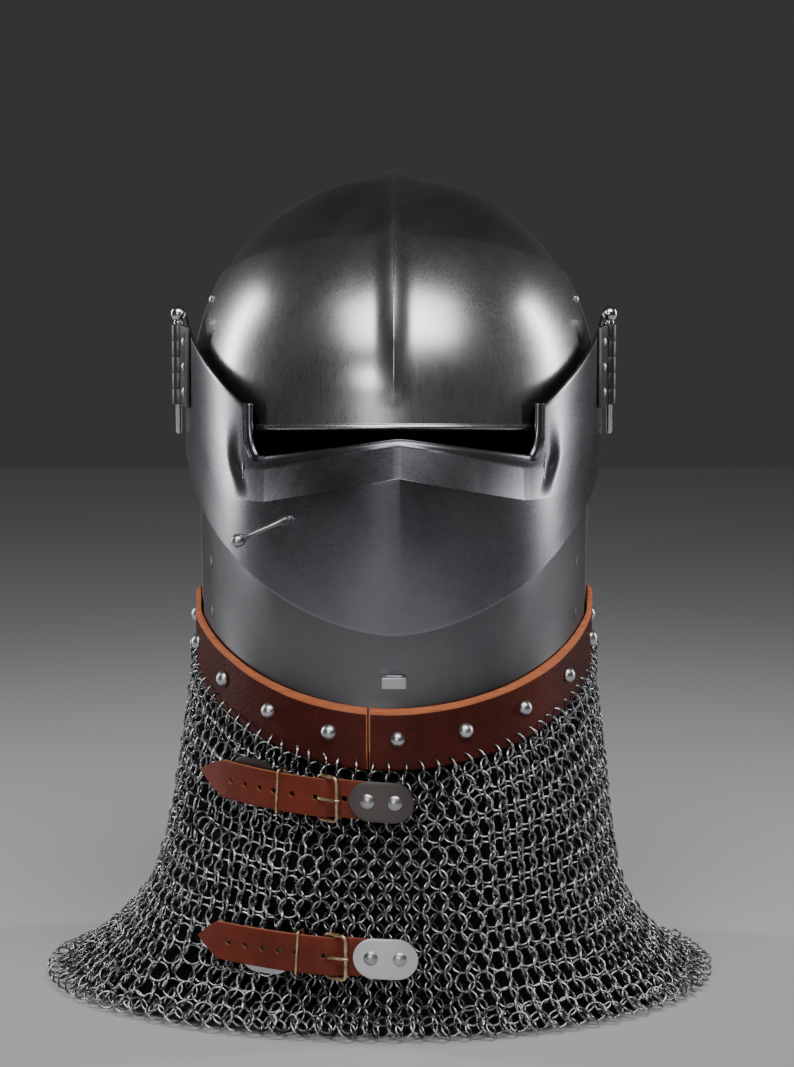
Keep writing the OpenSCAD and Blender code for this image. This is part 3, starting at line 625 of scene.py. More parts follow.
def make_skull():
    p = spaced((0, 12, 25), (12, 168, 79), (168, 192, 49), (192, 348, 79), (348, 360, 25))[:-1]
    low, start = collar_top(p) - UNDER_COLLAR - DOME_Z, -12.0
    heights = [low * (1 - s) + s * start for s in np.linspace(0, 1, 14)]
    heights += [np.full(len(p), h) for h in spaced((-8, 0, 3), (0, 86, 44), (86, 89.2, 4))]
    skull = capped_shell("skull_shell", p, heights, 0.0, STEEL_T, "skull_steel")
    half = [(80, 90), (80, 314), (91, 322), (91, 357)]
    outline = [(-80, 90)] + half + [(-x, z) for x, z in half[:0:-1]]
    cut(skull, prism(*[[(x, y, z) for x, z in outline] for y in (-220, -20)]))
    dress(skull, "skull_steel")
    paint_inside_shade(skull)
    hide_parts("skull")


def bead_z(p):
    """Height of the brow plate's lower edge, which the bead follows."""
    return 348.5 - 4 * np.minimum(1, (1 - cos(p)) / 0.3)


def make_brow():
    p = spaced((-84, -14, 57), (-43, -38, 17), (-14, -3, 23), (-3, 3, 25), (3, 14, 23),
               (38, 43, 17), (14, 84, 57))
    low = bead_z(p) + (357.5 - bead_z(p)) * smooth((np.abs(p) - 39.6) / 2.6)
    cusp = 5.0 * power(1 - np.abs(p) / 2.6, 1.6)
    top = latitude(457 - 30 * power(1 - cos(p), 1.1)) + 0.55 * cusp
    t = spaced((0, 0.06, 4), (0.06, 1, 46))[:, None]
    h = latitude(low) * (1 - t) + top * t
    brow = plate("brow_reinforce", skull_pt(p[None], h, PLATE_OUT), skull_pt(p[None], h, LAP),
                 "brow_steel", bevel=0.45)
    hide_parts("brow_plate")
    a = spaced((-BEAD_END, BEAD_END, 90))
    path = skull_pt(a, latitude(bead_z(a) + 1.2), PLATE_OUT - 0.2)
    radius = 2.15 * np.sqrt(clamp01((BEAD_END - np.abs(a)) / 0.9 + 0.06))
    bead = tube("brow_bead_rod", path, radius, "brow_steel", sides=16)
    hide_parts("brow_bead")


def make_bevor():
    p = spaced((-74, 74, 121))
    s = np.concatenate([np.linspace(0, 0.95, 8), np.linspace(1, 2, 40)])[:, None]
    low, mid, top = collar_top(p) - UNDER_COLLAR, collar_top(p) + 1, 316 + 8 * (p / 72) ** 2
    z = np.where(s <= 1, low + (mid - low) * s, mid + (top - mid) * (s - 1))
    bevor = plate("bevor_shell", bevor_pt(p[None], z, PLATE_OUT), bevor_pt(p[None], z, LAP),
                  "bevor_steel", bevel=0.4)
    paint_inside_shade(bevor)
    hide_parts("bevor")


def visor_grid(p, off):
    """Rows from the lower edge to the crease, then to the upper edge, closer at the crease."""
    low, top = visor_low(p), visor_top(p)
    crease = np.clip(crease_z(p), low + 3, top - 6)
    under = 1 - (1 - np.linspace(0, 1, 60)) ** 1.8
    above = np.linspace(0, 1, 34)[1:] ** 1.4
    z = np.concatenate([low + (crease - low) * under[:, None],
                        crease + (top - crease) * above[:, None]])
    return visor_pt(p[None], z, off)


def make_visor():
    p = spaced((-80, -50, 31), (-50, -34, 71), (-34, -2, 47), (-2, 5, 29), (5, 34, 43),
               (34, 50, 71), (50, 80, 31))
    visor = plate("visor_shell", visor_grid(p, 0.0), visor_grid(p, -STEEL_T), "visor_steel",
                  "visor", bevel=0.45)
    paint_inside_shade(visor)
    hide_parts("visor")


def make_rim():
    """Lip that doubles the sight notch from inside and rolls towards the opening."""
    half, end, mm = NOTCH_ANGLE, 43.2, 2.2
    sight = spaced((-end, -34, 40), (-34, 34, 80), (34, end, 40))
    path = [(-half, z) for z in np.linspace(361, 346, 16)]
    path += [(a, float(sight_low(a))) for a in sight]
    path += [(half, z) for z in np.linspace(346, 361, 16)]
    path = np.array(path)
    for _ in range(6):
        path[1:-1] = 0.25 * path[:-2] + 0.5 * path[1:-1] + 0.25 * path[2:]
    flat = path * np.array([mm, 1.0])
    along = unit(np.gradient(flat, axis=0))
    across = np.stack([-along[:, 1], along[:, 0]], -1)
    section = [(-3.8, 0.0), (-2.0, 0.0), (-0.4, 0.0), (0.7, -0.1), (1.7, -0.35), (2.6, -0.8),
               (3.3, -1.5), (3.6, -2.3)]

    def row(side, off):
        at = flat + across * side
        return visor_pt(at[:, 0] / mm, at[:, 1], off)

    top = -STEEL_T - 0.15
    outer = np.stack([row(side, top + drop) for side, drop in section])
    inner = np.stack([row(side - 0.2, top + drop - 1.2) for side, drop in section])
    rim = plate("sight_lip", outer, inner, "visor_steel", "visor", bevel=0.25)
    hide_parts("sight_rim")


def rivet_set(name, places, radius, rise, material, *replaced, skirt=0.4):
    """Domed heads at (point, direction) places, each a little different, as one object."""
    points, faces = [], []
    for at, out in places:
        size = 1 + rng.uniform(-0.03, 0.03)
        head, head_faces = lathe(dome_profile(radius * size, rise * size, skirt))
        first = len(points) * len(head)
        points.append(turned(head, at, out, rng.uniform(0, 6)))
        faces += [[v + first for v in face] for face in head_faces]
    obj = mesh_object(name, np.concatenate(points), faces, material, sharp=50.0)
    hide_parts(*replaced)
    return obj


def make_steel_rivets():
    brow = [(skull_pt(s * 78, latitude(416), PLATE_OUT + 0.3), skull_normal(s * 78, 23))
            for s in (-1, 1)]
    rivet_set("brow_rivet_heads", brow, 3.0, 1.4, "rivet_steel", "brow_rivets")
    bevor = [(skull_pt(s * 66, latitude(z), PLATE_OUT + 0.2), skull_normal(s * 66))
             for s in (-1, 1) for z in (232, 262)]
    heads = rivet_set("bevor_rivet_heads", bevor, 3.7, 0.3, "bevor_steel", "bevor_rivets")


make_skull()
make_brow()
make_bevor()
make_visor()
make_rim()
make_steel_rivets()

# ---- leather collar ----

SEAM, SEAM_GAP = -7.0, 0.35
STUDS, STUD_DROP = 19, 17.5


def hug(p):
    """How much closer to the skull the collar lies where no bevor is under it."""
    away = np.abs((np.asarray(p, float) + 180) % 360 - 180)
    return 1.9 * smooth((away - 74) / 10)


def collar_grid(p, section, wave=0.0):
    """Rows of points from (drop below the upper edge, distance off the skull) pairs."""
    rows = []
    for drop, off in section:
        z = collar_top(p) - drop + wave * sin(5 * p) * 0.4
        ripple = wave * (0.22 * sin(9 * p + 3 * drop) + 0.15 * sin(23 * p + 7 * drop))
        rows.append(skull_pt(p, np.minimum(0, z - DOME_Z), off + ripple - hug(p)))
    return np.stack(rows)


def collar_piece(name, p, outer, inner, material, wave=1.0, **extra):
    piece = plate(name, collar_grid(p, outer, wave), collar_grid(p, inner), material, **extra)
    return piece


def make_collar():
    p = np.linspace(SEAM + SEAM_GAP, SEAM + 360 - SEAM_GAP, 420)
    drops = [COLLAR_H - 0.6, *np.linspace(COLLAR_H, 3.1, 16)[1:]]
    outer = [(COLLAR_H, COLLAR_OUT - 0.5)] + [(d, COLLAR_OUT) for d in drops]
    inner = [(d, COLLAR_IN) for d in [COLLAR_H] + drops]
    collar = collar_piece("collar_band", p, outer, inner, "collar_leather", bevel=0.3)
    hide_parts("leather_collar")
    edge = [(3.4, 0.02), (2.8, 0.05), (1.6, -0.5), (0.5, -1.4), (0.0, -2.2)]
    inner = [(d, COLLAR_IN) for d, _ in edge[:-1]] + [(0.0, COLLAR_IN + 0.2)]
    collar_piece("collar_raw_edge", p, [(d, COLLAR_OUT + off) for d, off in edge], inner,
                 "raw_edge", sharp=60)
    rows = [(COLLAR_H - 0.2, 0.1), (COLLAR_H / 2, 0.14), (1.8, -0.1)]
    for name, a in (("left", SEAM - 0.42), ("right", SEAM + 0.42)):
        collar_piece("collar_seam_edge_" + name, np.array([a - 0.12, a + 0.12]),
                     [(d, COLLAR_OUT + off) for d, off in rows],
                     [(d, COLLAR_IN) for d, _ in rows], "raw_edge", 0.0, sharp=60)


def make_studs():
    places = []
    for i in range(STUDS):
        p = 1 + 360 / STUDS * i
        z = float(collar_top(np.array(p))) - STUD_DROP
        at = skull_pt(p, z - DOME_Z, COLLAR_OUT + 0.35 - hug(p))
        places.append((at, skull_normal(p, rng.uniform(-3, 3))))
    rivet_set("collar_stud_domes", places, 4.8, 3.7, "stud_steel", "collar_studs", skirt=0.5)


# ---- mail ----

RING_R, WIRE_R = 5.75, 0.75
PER_ROW, ROWS, GROUPS = 86, 27, 4
STEPS_ROUND, STEPS_DOWN = 360, 200
# How far the painted shade sheet lies behind the rings, for its outer and inner faces.
SHADE_SHEET_OUT, SHADE_SHEET_IN = 4.6, 5.8
STRAP_GAP, STRAP_FADE, STRAP_HALF, STRAP_END = 6.2, 26.0, 18.0, 7.0
# height, half widths at -X and +X, depths at the front and the back
MAIL_SHAPE = np.array([[132, 129, 126, 143, 146], [90, 136.5, 130, 149, 151],
                       [58, 147, 136.5, 154, 156], [36, 163, 147, 157, 160],
                       [20, 182, 163, 161, 164], [10, 195, 176, 165, 168],
                       [4.4, 204, 186, 168.5, 170], [3.2, 209, 192, 171, 172]])


def run_along(line):
    """Length along a line of points up to each of them."""
    steps = np.linalg.norm(np.diff(line, axis=0), axis=1)
    return np.concatenate([[0], np.cumsum(steps)])


def mail_line(p):
    """Points down the mail at plan angle p, from the collar's lower edge to the hem."""
    z0 = collar_top(p) - COLLAR_H - 3.0
    head = skull_pt(p, z0 - DOME_Z, COLLAR_OUT - 1.6 - hug(p))
    side = MAIL_SHAPE[:, 1] if sin(p) < 0 else MAIL_SHAPE[:, 2]
    depth = MAIL_SHAPE[:, 3] if cos(p) > 0 else MAIL_SHAPE[:, 4]
    body = np.stack([side * sin(p), -depth * cos(p), MAIL_SHAPE[:, 0]], -1)
    knots = np.vstack([head, body])
    for _ in range(3):
        a, b = knots[:-1], knots[1:]
        middle = np.stack([0.75 * a + 0.25 * b, 0.25 * a + 0.75 * b], 1)
        knots = np.vstack([knots[:1], middle.reshape(-1, 3), knots[-1:]])
    return knots


def mail_sheet():
    """A fine table of points (angle, share of the way down) of the hanging mail."""
    angles = np.linspace(0, 360, STEPS_ROUND + 1)
    share = np.linspace(0, 1, STEPS_DOWN + 1)
    table = []
    for p in angles:
        line = mail_line(p)
        run = run_along(line)
        table.append(np.stack([np.interp(share * run[-1], run, axis) for axis in line.T], -1))
    table = np.array(table)
    p, s = np.radians(angles)[:, None], share[None]
    sway = (1.6 * np.sin(5 * p + 1.3) + 1.1 * np.sin(9 * p - 2.0 * s + 0.4)
            + 0.8 * np.sin(14 * p + 3 * s)) * smooth(s * 1.6) * smooth((1 - s) * 9)
    return table + unit(table * np.array([1.0, 1.0, 0.0])) * sway[..., None]


def sheet_at(sheet, p, s):
    """Point, direction along the row, direction down the mail and normal at each (p, s)."""
    p = np.mod(p, 360.0)
    s = np.clip(s, 0, 1) * STEPS_DOWN
    i = np.minimum(p.astype(int), STEPS_ROUND - 1)
    j = np.minimum(s.astype(int), STEPS_DOWN - 1)
    u, v = (p - i)[:, None], (s - j)[:, None]
    a, b, c, d = sheet[i, j], sheet[i + 1, j], sheet[i, j + 1], sheet[i + 1, j + 1]
    point = (a * (1 - u) + b * u) * (1 - v) + (c * (1 - u) + d * u) * v
    along = unit(b - a)
    normal = unit(np.cross(c - a, along))
    return point, along, np.cross(along, normal), normal


def even_angles(sheet, s, shift):
    """Plan angles that space a row's rings evenly along its length."""
    row = sheet[:, min(STEPS_DOWN, int(round(s * STEPS_DOWN)))]
    run = run_along(row)
    share = (np.arange(PER_ROW) + shift) / PER_ROW
    return np.interp(share * run[-1], run, np.arange(STEPS_ROUND + 1.0))


def ring_template(major=20, minor=7):
    a, b = circle(major)[:, None], circle(minor)[None]
    r = RING_R + WIRE_R * np.cos(b)
    points = np.stack([r * np.cos(a), r * np.sin(a), 0 * a + WIRE_R * np.sin(b)], -1)
    ids = np.arange(major * minor).reshape(major, minor)
    after = np.roll(ids, -1, 0)
    quads = np.stack([ids, after, np.roll(after, -1, 1), np.roll(ids, -1, 1)], -1)
    return points.reshape(-1, 3), quads.reshape(-1, 4)


def rings(name, point, x_axis, y_axis, z_axis):
    """One object holding a ring at every point, each in its own axes."""
    shape, quads = ring_template()
    points = np.einsum("vk,nkc->nvc", shape, np.stack([x_axis, y_axis, z_axis], 1))
    points += point[:, None]
    first = (np.arange(len(point)) * len(shape))[:, None, None]
    quads = (quads[None] + first).reshape(-1, 4)
    mesh = bpy.data.meshes.new(name)
    mesh.vertices.add(points.size // 3)
    mesh.vertices.foreach_set("co", (points * MM).astype(np.float32).ravel())
    mesh.loops.add(quads.size)
    mesh.loops.foreach_set("vertex_index", quads.astype(np.int32).ravel())
    mesh.polygons.add(len(quads))
    mesh.polygons.foreach_set("loop_start", np.arange(0, quads.size, 4, dtype=np.int32))
    mesh.polygons.foreach_set("use_smooth", [True] * len(quads))
    mesh.update(calc_edges=True)
    mesh.materials.append(LOOK["mail_steel"])
    obj = add(bpy.data.objects.new(name, mesh))
    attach(obj, "helmet")
    return obj


def turned_axes(axes, about, angle):
    """The three axes turned by an angle for each ring about its own axis "about"."""
    c, s = np.cos(angle)[:, None], np.sin(angle)[:, None]
    return [v * c + np.cross(about, v) * s
            + about * np.sum(about * v, 1)[:, None] * (1 - c) for v in axes]


def under_straps(point):
    """Holds the mail back where a strap lies on it."""
    point = point.copy()
    for centre_y, radius, z, first in ((-22, 122.8, 138.5, -64), (0, 158, 48.5, -46)):
        dx, dy = point[:, 0], point[:, 1] - centre_y
        reach = np.hypot(dx, dy)
        a = np.degrees(np.arctan2(dx, -dy))
        beside = np.maximum(np.maximum(first - a, a - STRAP_END) * radius * math.pi / 180,
                            np.abs(point[:, 2] - z) - STRAP_HALF)
        hold = 1 - smooth(np.maximum(0, beside) / STRAP_FADE)
        scale = 1 - hold * np.maximum(0, reach - (radius - STRAP_GAP)) / reach
        point[:, 0] = dx * scale
        point[:, 1] = centre_y + dy * scale
    return point


def make_painted_shade_sheet(sheet):
    """A near-black sheet with a leather finish behind the rings, from inside the collar down to the
    floor: painted shade in the gaps between the rings.
    """
    angles = np.linspace(0, 357.5, 144)
    top = skull_pt(angles, collar_top(angles) - COLLAR_H + 9 - DOME_Z, COLLAR_IN - 0.6)
    outer, inner = [top], [top - 0.01 * top * [1, 1, 0]]
    for s in [*np.linspace(0, 0.9, 46), *np.linspace(0.915, 0.955, 4)]:
        point, _, _, normal = sheet_at(sheet, angles, np.full(len(angles), s))
        point = under_straps(point)
        for rows, depth, lowest in ((outer, SHADE_SHEET_OUT, 1.9), (inner, SHADE_SHEET_IN, 0.5)):
            at = point - normal * depth
            at[:, 2] = np.maximum(at[:, 2], lowest)
            rows.append(at)
    backing = plate("mail_painted_shade_sheet", np.stack(outer)[::-1], np.stack(inner)[::-1], "backing",
                    wrap=True, sharp=60)


def row_levels():
    """Share of the way down for each row, closer together towards the hem."""
    pitch = np.linspace(0, 1, 4001)
    weight = np.interp(pitch, [0, 0.35, 0.75, 1.0], [1.10, 1.08, 0.92, 0.56])
    share = np.concatenate([[0], np.cumsum(weight[:-1])])
    return np.interp((np.arange(ROWS) + 0.55) / (ROWS - 0.2), pitch, share / share[-1])


def make_mail():
    sheet = mail_sheet()
    draws = np.random.default_rng(11)
    groups = [[] for _ in range(GROUPS)]
    for k, s in enumerate(row_levels()):
        p = even_angles(sheet, s, 0.5 * (k % 2))
        level = s + draws.normal(0, 0.0016, PER_ROW)
        point, along, down, normal = sheet_at(sheet, p, level)
        point = (point + along * draws.normal(0, 0.28, (PER_ROW, 1))
                 + normal * draws.normal(0, 0.18, (PER_ROW, 1)))
        lean = (1 if k % 2 else -1) * np.radians(draws.normal(34, 5.0, PER_ROW))
        axes = turned_axes((along, down, normal), down, lean)
        axes = turned_axes(axes, along, np.radians(draws.normal(4, 4.5, PER_ROW)))
        point = under_straps(point)
        reach = RING_R * np.sqrt(np.clip(1 - axes[2][:, 2] ** 2, 0, 1))
        point[:, 2] = np.maximum(point[:, 2], 1.8 + reach + WIRE_R)
        groups[k * GROUPS // ROWS].append((point, *axes))
    for i, group in enumerate(groups):
        mail = rings(f"mail_rows_{i + 1}", *(np.concatenate(part) for part in zip(*group)))
        if i == 0:
            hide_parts("mail_aventail")
    p = even_angles(sheet, 0.0, 0.5)
    z = collar_top(p) - COLLAR_H - 0.2
    point = skull_pt(p, z - DOME_Z, (COLLAR_IN + COLLAR_OUT) / 2 + 0.3 - hug(p))
    _, along, down, normal = sheet_at(sheet, p, np.zeros(PER_ROW))
    axes = (normal, down, -along)
    axes = turned_axes(axes, down, np.radians(draws.normal(-24, 7, PER_ROW)))
    axes = turned_axes(axes, normal, np.radians(draws.normal(6, 7, PER_ROW)))
    rings("mail_edge_rings", point, *axes)
    make_painted_shade_sheet(sheet)


make_collar()
make_studs()
make_mail()

# ---- straps ----

STRAP_W, STRAP_T, TAIL_IN = 22.0, 2.4, 4.8
BUCKLE_W, BUCKLE_H, BAR_R = 12.2, 25.6, 3.15
# centre y, radius, height, rise for each degree towards the tip
LINES = {"upper": (-22, 122.8, 137.0, 0.12), "lower": (0, 158, 47.5, 0.10)}


class Arc:
    """A strap's line round the mail. Angles in degrees, mm, r measured from the mail's face."""

    def __init__(self, name, tip, shoulder, holes, keeper, bar, anchor, buckle, ends, plates, shift):
        self.name, self.tip, self.shoulder, self.holes = name, tip, shoulder, holes
        self.centre_y, self.radius, self.z, self.rise = LINES[name]
        self.keeper, self.bar, self.anchor, self.buckle = keeper, bar, anchor, buckle
        self.ends, self.plates, self.shift = ends, plates, shift
        self.mm = 1 / self.degrees(1)

    def degrees(self, length):
        return length * 180 / (math.pi * self.radius)

    def at(self, a, r, w):
        """Points at angle a, height r over the mail and w across the strap."""
        a, r, w = np.broadcast_arrays(*(np.asarray(v, float) for v in (a, r, w)))
        reach = self.radius + r
        z = self.z + w + self.rise * (self.bar - a)
        return np.stack([reach * sin(a), self.centre_y - reach * cos(a), z], -1)

    def inner(self, a):
        """Height of the inner face: high over the buckle's bar, down on the mail past it."""
        past = (a - self.bar) * self.mm - 3.0
        return TAIL_IN + (0.4 - TAIL_IN) * smooth(past / 9.0)


ARCS = [
    Arc("upper", -62, -50.5, [-47, -42, -37, -32.5, -27, -13.2], -31, -20.2, (-6.9, 0.3),
        (-44.5, -37.5), (-11.7, 5.2), (-49, -32.6), 3.5),
    Arc("lower", -44, -38.6, [-35.7, -31.5, -27.4, -23.7, -19.9], -19.6, -14, (-4.7, 1.2),
        (-30.5, -25.5), (-8.3, 4.9), (-34, -21.5), -3.5)]


def flat_strip(name, stations, half_width, thickness, material, holes=(), bevel=0.4, edge=None):
    """A flat strip, cut and softened before it is bent. x runs along it, y across."""
    across = np.linspace(-1, 1, 13)
    x = np.repeat(stations[:, None], 13, 1)
    y = half_width(stations)[:, None] * across[None]
    top, low = (np.stack([x, y, np.full_like(x, z)], -1) for z in (thickness, 0.0))
    obj = plate(name, top, low, material)
    for outline in holes:
        cut(obj, prism(*[[(px, py, z) for px, py in outline] for z in (-5, 9)]))
    if edge:
        obj.data.materials.append(LOOK[edge])
        for face in obj.data.polygons:
            if abs(face.normal.z) < 0.5:
                face.material_index = 1
    soften(obj, bevel)
    return obj


def round_hole(x, radius, sides=20):
    return [(x + radius * math.cos(t), radius * math.sin(t)) for t in circle(sides)]


def slot_hole(x, length, width):
    return [(x + sx * length / 2, sy * width / 2) for sx, sy in ((-1, -1), (1, -1), (1, 1), (-1, 1))]


def bend(obj, place):
    """Moves every vertex from its flat (x, y, z) in mm to place(x, y, z)."""
    set_points(obj, place(*get_points(obj).T))


def stadium_plate(name, arc, ends, r, thickness, shift, node):
    """A sheet-steel plate with round ends, bent to the strap's line."""
    half = (STRAP_W + 1.6) / 2
    start, end = ends[0] * arc.mm, ends[1] * arc.mm
    turn = half * (1 - np.cos(np.linspace(0, math.pi / 2, 12)))
    stations = np.unique(np.concatenate(
        [start + turn, np.linspace(start + half, end - half, 16), end - turn]))

    def width(x):
        past = np.maximum(0, half - np.minimum(x - start, end - x))
        return np.sqrt(np.maximum(half ** 2 - past ** 2, 0.04))

    # The upper strap's plates take the darker copy of the plate steel as painted shade.
    tone = "plate_dark" if arc.name == "upper" else "plate_steel"
    obj = flat_strip(name, stations, width, thickness, tone, bevel=0.35)
    bend(obj, lambda x, y, t: arc.at(x / arc.mm, r + t, y + shift))
    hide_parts(node)


def make_strap(arc):
    """The strap's tail, over the buckle and down to its plate, and the short strap under it."""
    mm, half = arc.mm, STRAP_W / 2
    tip, shoulder, end = arc.tip * mm, arc.shoulder * mm, arc.ends[1] * mm - 7.5
    stations = np.unique(np.concatenate(
        [np.linspace(tip, shoulder, 16), np.arange(shoulder, end, 1.3), [end]]))

    def width(x):
        t = clamp01((x - tip) / (shoulder - tip))
        return half * np.maximum(0.05, np.sin(t * math.pi / 2) ** 0.85 * 0.22 + 0.78 * t)

    def lie(x, y, t):
        ripple = 0.15 * np.sin(x / 6.0) * smooth((arc.bar - x / mm) / 6)
        return arc.at(x / mm, arc.inner(x / mm) + t + ripple, y)

    holes = [round_hole(a * mm, 1.8) for a in arc.holes]
    holes.append(slot_hole(arc.bar * mm + 0.3, 4.6, 3.2))
    strap = flat_strip(f"strap_{arc.name}_leather", stations, width, STRAP_T,
                       "strap_leather", holes, 0.45, "strap_edge")
    bend(strap, lie)
    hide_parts("strap_" + arc.name)
    short = flat_strip(f"buckle_strap_{arc.name}_leather",
                       np.arange(arc.plates[0] * mm + 2, arc.bar * mm - 1.4, 1.3),
                       lambda x: np.full(len(x), half - 1), 1.8, "strap_leather", (), 0.3,
                       "strap_edge")
    bend(short, lambda x, y, t: arc.at(x / mm, 0.15 + t, y))
    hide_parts("buckle_strap_" + arc.name)


def loop_path(width, height, corner, steps=5):
    """A rounded rectangle as a closed list of (u, v) from 0..width by +-height / 2."""
    path = []
    right, top = width - corner, height / 2 - corner
    for cx, cy, start in ((right, top, 0), (corner, top, 90), (corner, -top, 180), (right, -top, 270)):
        for i in range(steps + 1):
            a = math.radians(start + 90 * i / steps)
            path.append((cx + corner * math.cos(a), cy + corner * math.sin(a)))
    dense = []
    for p, q in zip(path, path[1:] + path[:1]):
        count = max(1, int(math.dist(p, q) / 1.5))
        dense += [(p[0] + (q[0] - p[0]) * k / count, p[1] + (q[1] - p[1]) * k / count)
                  for k in range(count)]
    return dense


def make_buckle(arc):
    """Frame, prong and keeper of brass wire."""
    path = [arc.at(arc.bar + arc.degrees(u),
                   BAR_R + 5.1 * u / 12.0 + 0.25 * math.sin(u / 12.0 * math.pi), v)
            for u, v in loop_path(BUCKLE_W, BUCKLE_H, 2.6)]
    buckle = tube(f"buckle_{arc.name}_frame", path, 1.08, "brass", closed=True)
    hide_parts("buckle_" + arc.name)
    eye = [(math.cos(t) * 1.75, math.sin(t) * 1.75) for t in np.linspace(-2.9, 1.1, 14)]
    blade = [(1.7, 3.0), (1.9, 4.4), (2.4, 5.3), (3.4, 5.85), (5.4, 6.2), (8.0, 6.6),
             (10.6, 7.05), (12.2, 7.3), (13.4, 7.2), (14.1, 6.8)]
    path = [arc.at(arc.bar + arc.degrees(u), BAR_R + v, 0) for u, v in eye + blade]
    radius = [0.8] * len(eye) + [1.0] * 6 + [0.98, 0.92, 0.8, 0.55]
    prong = tube(f"prong_{arc.name}_wire", path, radius, "brass", "prong_" + arc.name)
    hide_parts("prong_" + arc.name)
    path = [arc.at(arc.keeper + arc.degrees(0.06 * w), r - 0.45, w)
            for r, w in loop_path(TAIL_IN + STRAP_T + 1.6, STRAP_W + 4.0, 1.6)]
    keeper = tube(f"keeper_{arc.name}_wire", path, 0.72, "brass", "keeper_" + arc.name, 10, True)
    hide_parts("keeper_" + arc.name)


def make_strap_plates(arc):
    stadium_plate(f"anchor_plate_{arc.name}_sheet", arc, arc.ends, STRAP_T + 0.5, 1.6, 0.0,
                  "anchor_plate_" + arc.name)
    stadium_plate(f"buckle_plate_{arc.name}_sheet", arc, arc.plates, 2.1, 1.0, arc.shift,
                  "buckle_plate_" + arc.name)
    anchor, buckle = ([(arc.at(a, r, 0), (sin(a), -cos(a), 0.0)) for a in angles]
                      for angles, r in ((arc.anchor, STRAP_T + 2.25), (arc.buckle, 3.2)))
    rivet_set(f"strap_rivets_{arc.name}_heads", anchor, 4.1, 1.3, "rivet_steel",
              "strap_rivets_" + arc.name)
    rivet_set(f"buckle_rivets_{arc.name}_heads", buckle, 2.5, 0.7, "rivet_steel")


for strap_line in ARCS:
    make_strap(strap_line)
    make_buckle(strap_line)
    make_strap_plates(strap_line)

# ---- hinges, peg, staple and other small parts ----


def refined(node, material, width, body="helmet"):
    """A copy of a turned or sawn CAD part with its flats cleaned up and its edges rounded."""
    source = nodes[node]
    mesh = source.data.copy()
    mesh.transform(source.matrix_world)
    clean_normals(mesh, 4e-6, True)
    obj = add(bpy.data.objects.new(node + "_finished", mesh))
    dress(obj, material, 40.0)
    soften(obj, width, 40.0)
    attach(obj, body)
    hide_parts(node)


def turn(x, y, z):
    return Euler([math.radians(a) for a in (x, y, z)], "XYZ").to_matrix()


def make_peg():
    """Waisted rod with a ball at its free end, riveted through the visor."""
    root = Vector(visor_pt(-29.0, 297.0, 0.0).tolist())
    out = turn(90, 0, -27)
    rod = out @ turn(18, -32, 0)
    start = root + out @ Vector((0, 0, 6.0))
    foot = ((-2.0, 2.6), (0.8, 3.1), (2.6, 3.0), (4.4, 2.5))
    shank = ((1.0, 1.9), (4.0, 1.55), (9.0, 1.4), (16.0, 1.5), (22.0, 1.75), (24.4, 1.9),
             (25.2, 2.3), (26.2, 3.1), (27.6, 3.7), (29.2, 3.95), (30.8, 3.7), (32.1, 3.0),
             (33.0, 1.9), (33.3, 0.5))
    path = [root + out @ Vector((0, 0, along)) for along, _ in foot]
    path += [start + rod @ Vector((0, 0, along)) for along, _ in shank]
    radius = [size for _, size in foot + shank]
    peg = tube("peg_rod", path, radius, "rivet_steel", "visor", sides=20)
    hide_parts("lifting_peg")


def make_small_parts():
    for side in ("left", "right"):
        refined("visor_leaf_" + side, "hinge_steel", 0.28, "visor")
        refined("leaf_rivets_" + side, "rivet_steel", 0.15, "visor")
        refined("pivot_arm_" + side, "hinge_steel", 0.35, "visor")
        refined("hinge_pin_" + side, "pin_steel", 0.25, "pin_" + side)
        refined("pivot_bolt_" + side, "pin_steel", 0.3)
        refined("pivot_nut_" + side, "hinge_steel", 0.4)
    make_peg()
    refined("chin_staple", "rivet_steel", 0.5)
    refined("stud_washers", "hinge_steel", 0.2)
    for name in LINES:
        refined("strap_washers_" + name, "plate_steel", 0.15)
    refined("liner_rivets", "brass", 0.2)
    refined("liner_band", "band_leather", 0.3)


# ---- quilted liner ----

LINER_GAP, LINER_T = 3.2, 8.0
CHANNEL, CHANNEL_HALF, RING_SEAM = 18.0, 3.2, 34.0
VOXEL, SWELL_CAP, PRESSURE, LAST_FRAME = 0.0045, 2.2, 4.0, 20


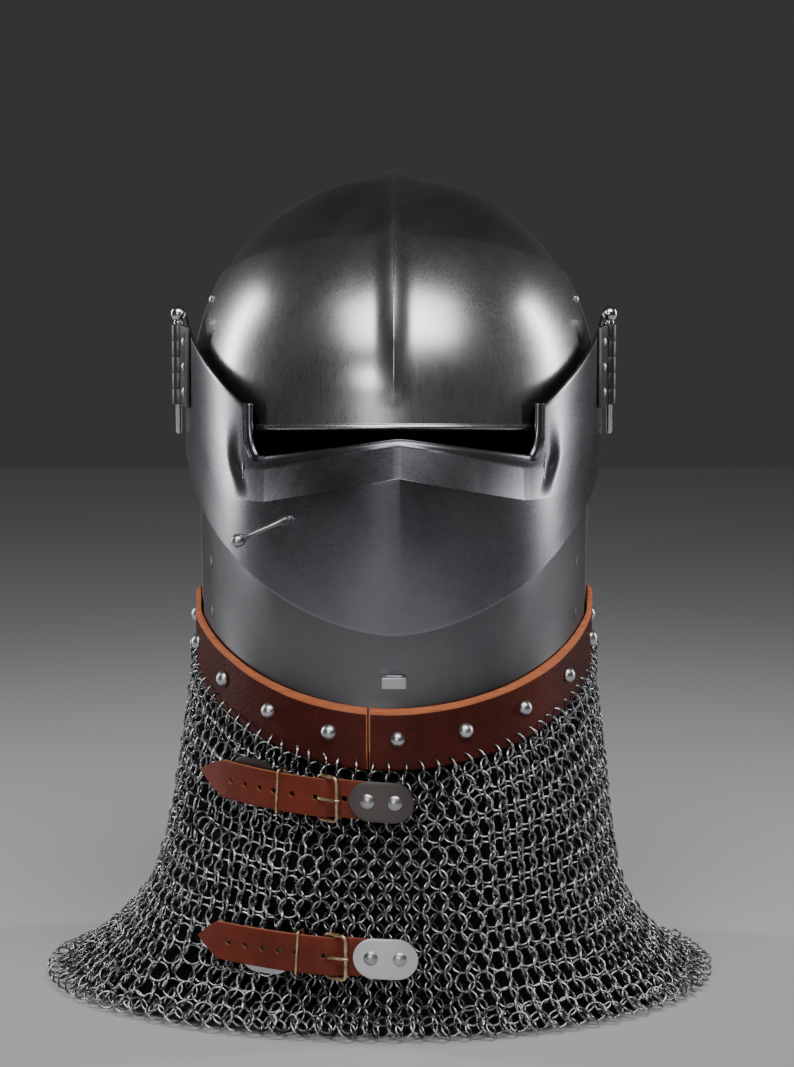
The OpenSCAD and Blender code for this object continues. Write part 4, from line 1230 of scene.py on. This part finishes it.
def swell(obj):
    """Blows the pad up with cloth pressure; no point moves further than the cap."""
    remesh = obj.modifiers.new("remesh", "REMESH")
    remesh.mode = "VOXEL"
    remesh.voxel_size = VOXEL
    bake_modifiers(obj)
    start = get_points(obj)
    cloth = obj.modifiers.new("cloth", "CLOTH")
    cloth.settings.use_pressure = True
    cloth.settings.uniform_pressure_force = PRESSURE
    cloth.settings.effector_weights.gravity = 0.0
    cloth.settings.quality = 4
    cloth.point_cache.frame_start, cloth.point_cache.frame_end = 1, LAST_FRAME
    for step in range(1, LAST_FRAME + 1):
        scene.frame_set(step)
    bake_modifiers(obj)
    scene.frame_set(1)
    shift = get_points(obj) - start
    size = np.linalg.norm(shift, axis=1, keepdims=True)
    set_points(obj, start + shift * np.minimum(1.0, SWELL_CAP / np.maximum(size, 1e-6)))


def sew_channels(obj):
    """Presses the sewn channels into the pad's inner face."""
    co = get_points(obj)
    rise = np.maximum(0.0, co[:, 2] - DOME_Z)
    radial = np.hypot(co[:, 0], co[:, 1])
    p = np.degrees(np.arctan2(co[:, 0], -co[:, 1]))
    shell = skull_pt(p, latitude(np.minimum(co[:, 2], DOME_Z + 150)), 0.0)
    depth = np.hypot(shell[:, 0], shell[:, 1]) - radial
    beside = np.abs((p / CHANNEL + 0.5) % 1 - 0.5) * CHANNEL * math.pi / 180 * radial
    inner = smooth((depth - LINER_GAP - 2.0) / 3.0)
    pinch = np.exp(-(beside / CHANNEL_HALF) ** 2) * inner * smooth((radial - 25) / 25)
    ring = np.exp(-((rise - RING_SEAM) / CHANNEL_HALF) ** 2) * inner
    push = 1 + 3.0 * np.maximum(pinch, 0.8 * ring) / np.maximum(np.hypot(radial, rise), 1.0)
    co[:, :2] *= push[:, None]
    co[:, 2] = DOME_Z + (co[:, 2] - DOME_Z) * push
    set_points(obj, co)


def make_liner():
    p = np.linspace(0, 357.5, 144)
    heights = [np.full(len(p), h) for h in spaced((1.5, 86, 40), (86, 89, 3))]
    liner = capped_shell("liner_quilt", p, heights, -STEEL_T - LINER_GAP, LINER_T, "liner_cloth")
    swell(liner)
    sew_channels(liner)
    liner.modifiers.new("smooth", "SUBSURF").levels = 1
    bake_modifiers(liner)
    dress(liner, "liner_cloth", 80)
    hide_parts("liner_pad")


make_small_parts()
make_liner()
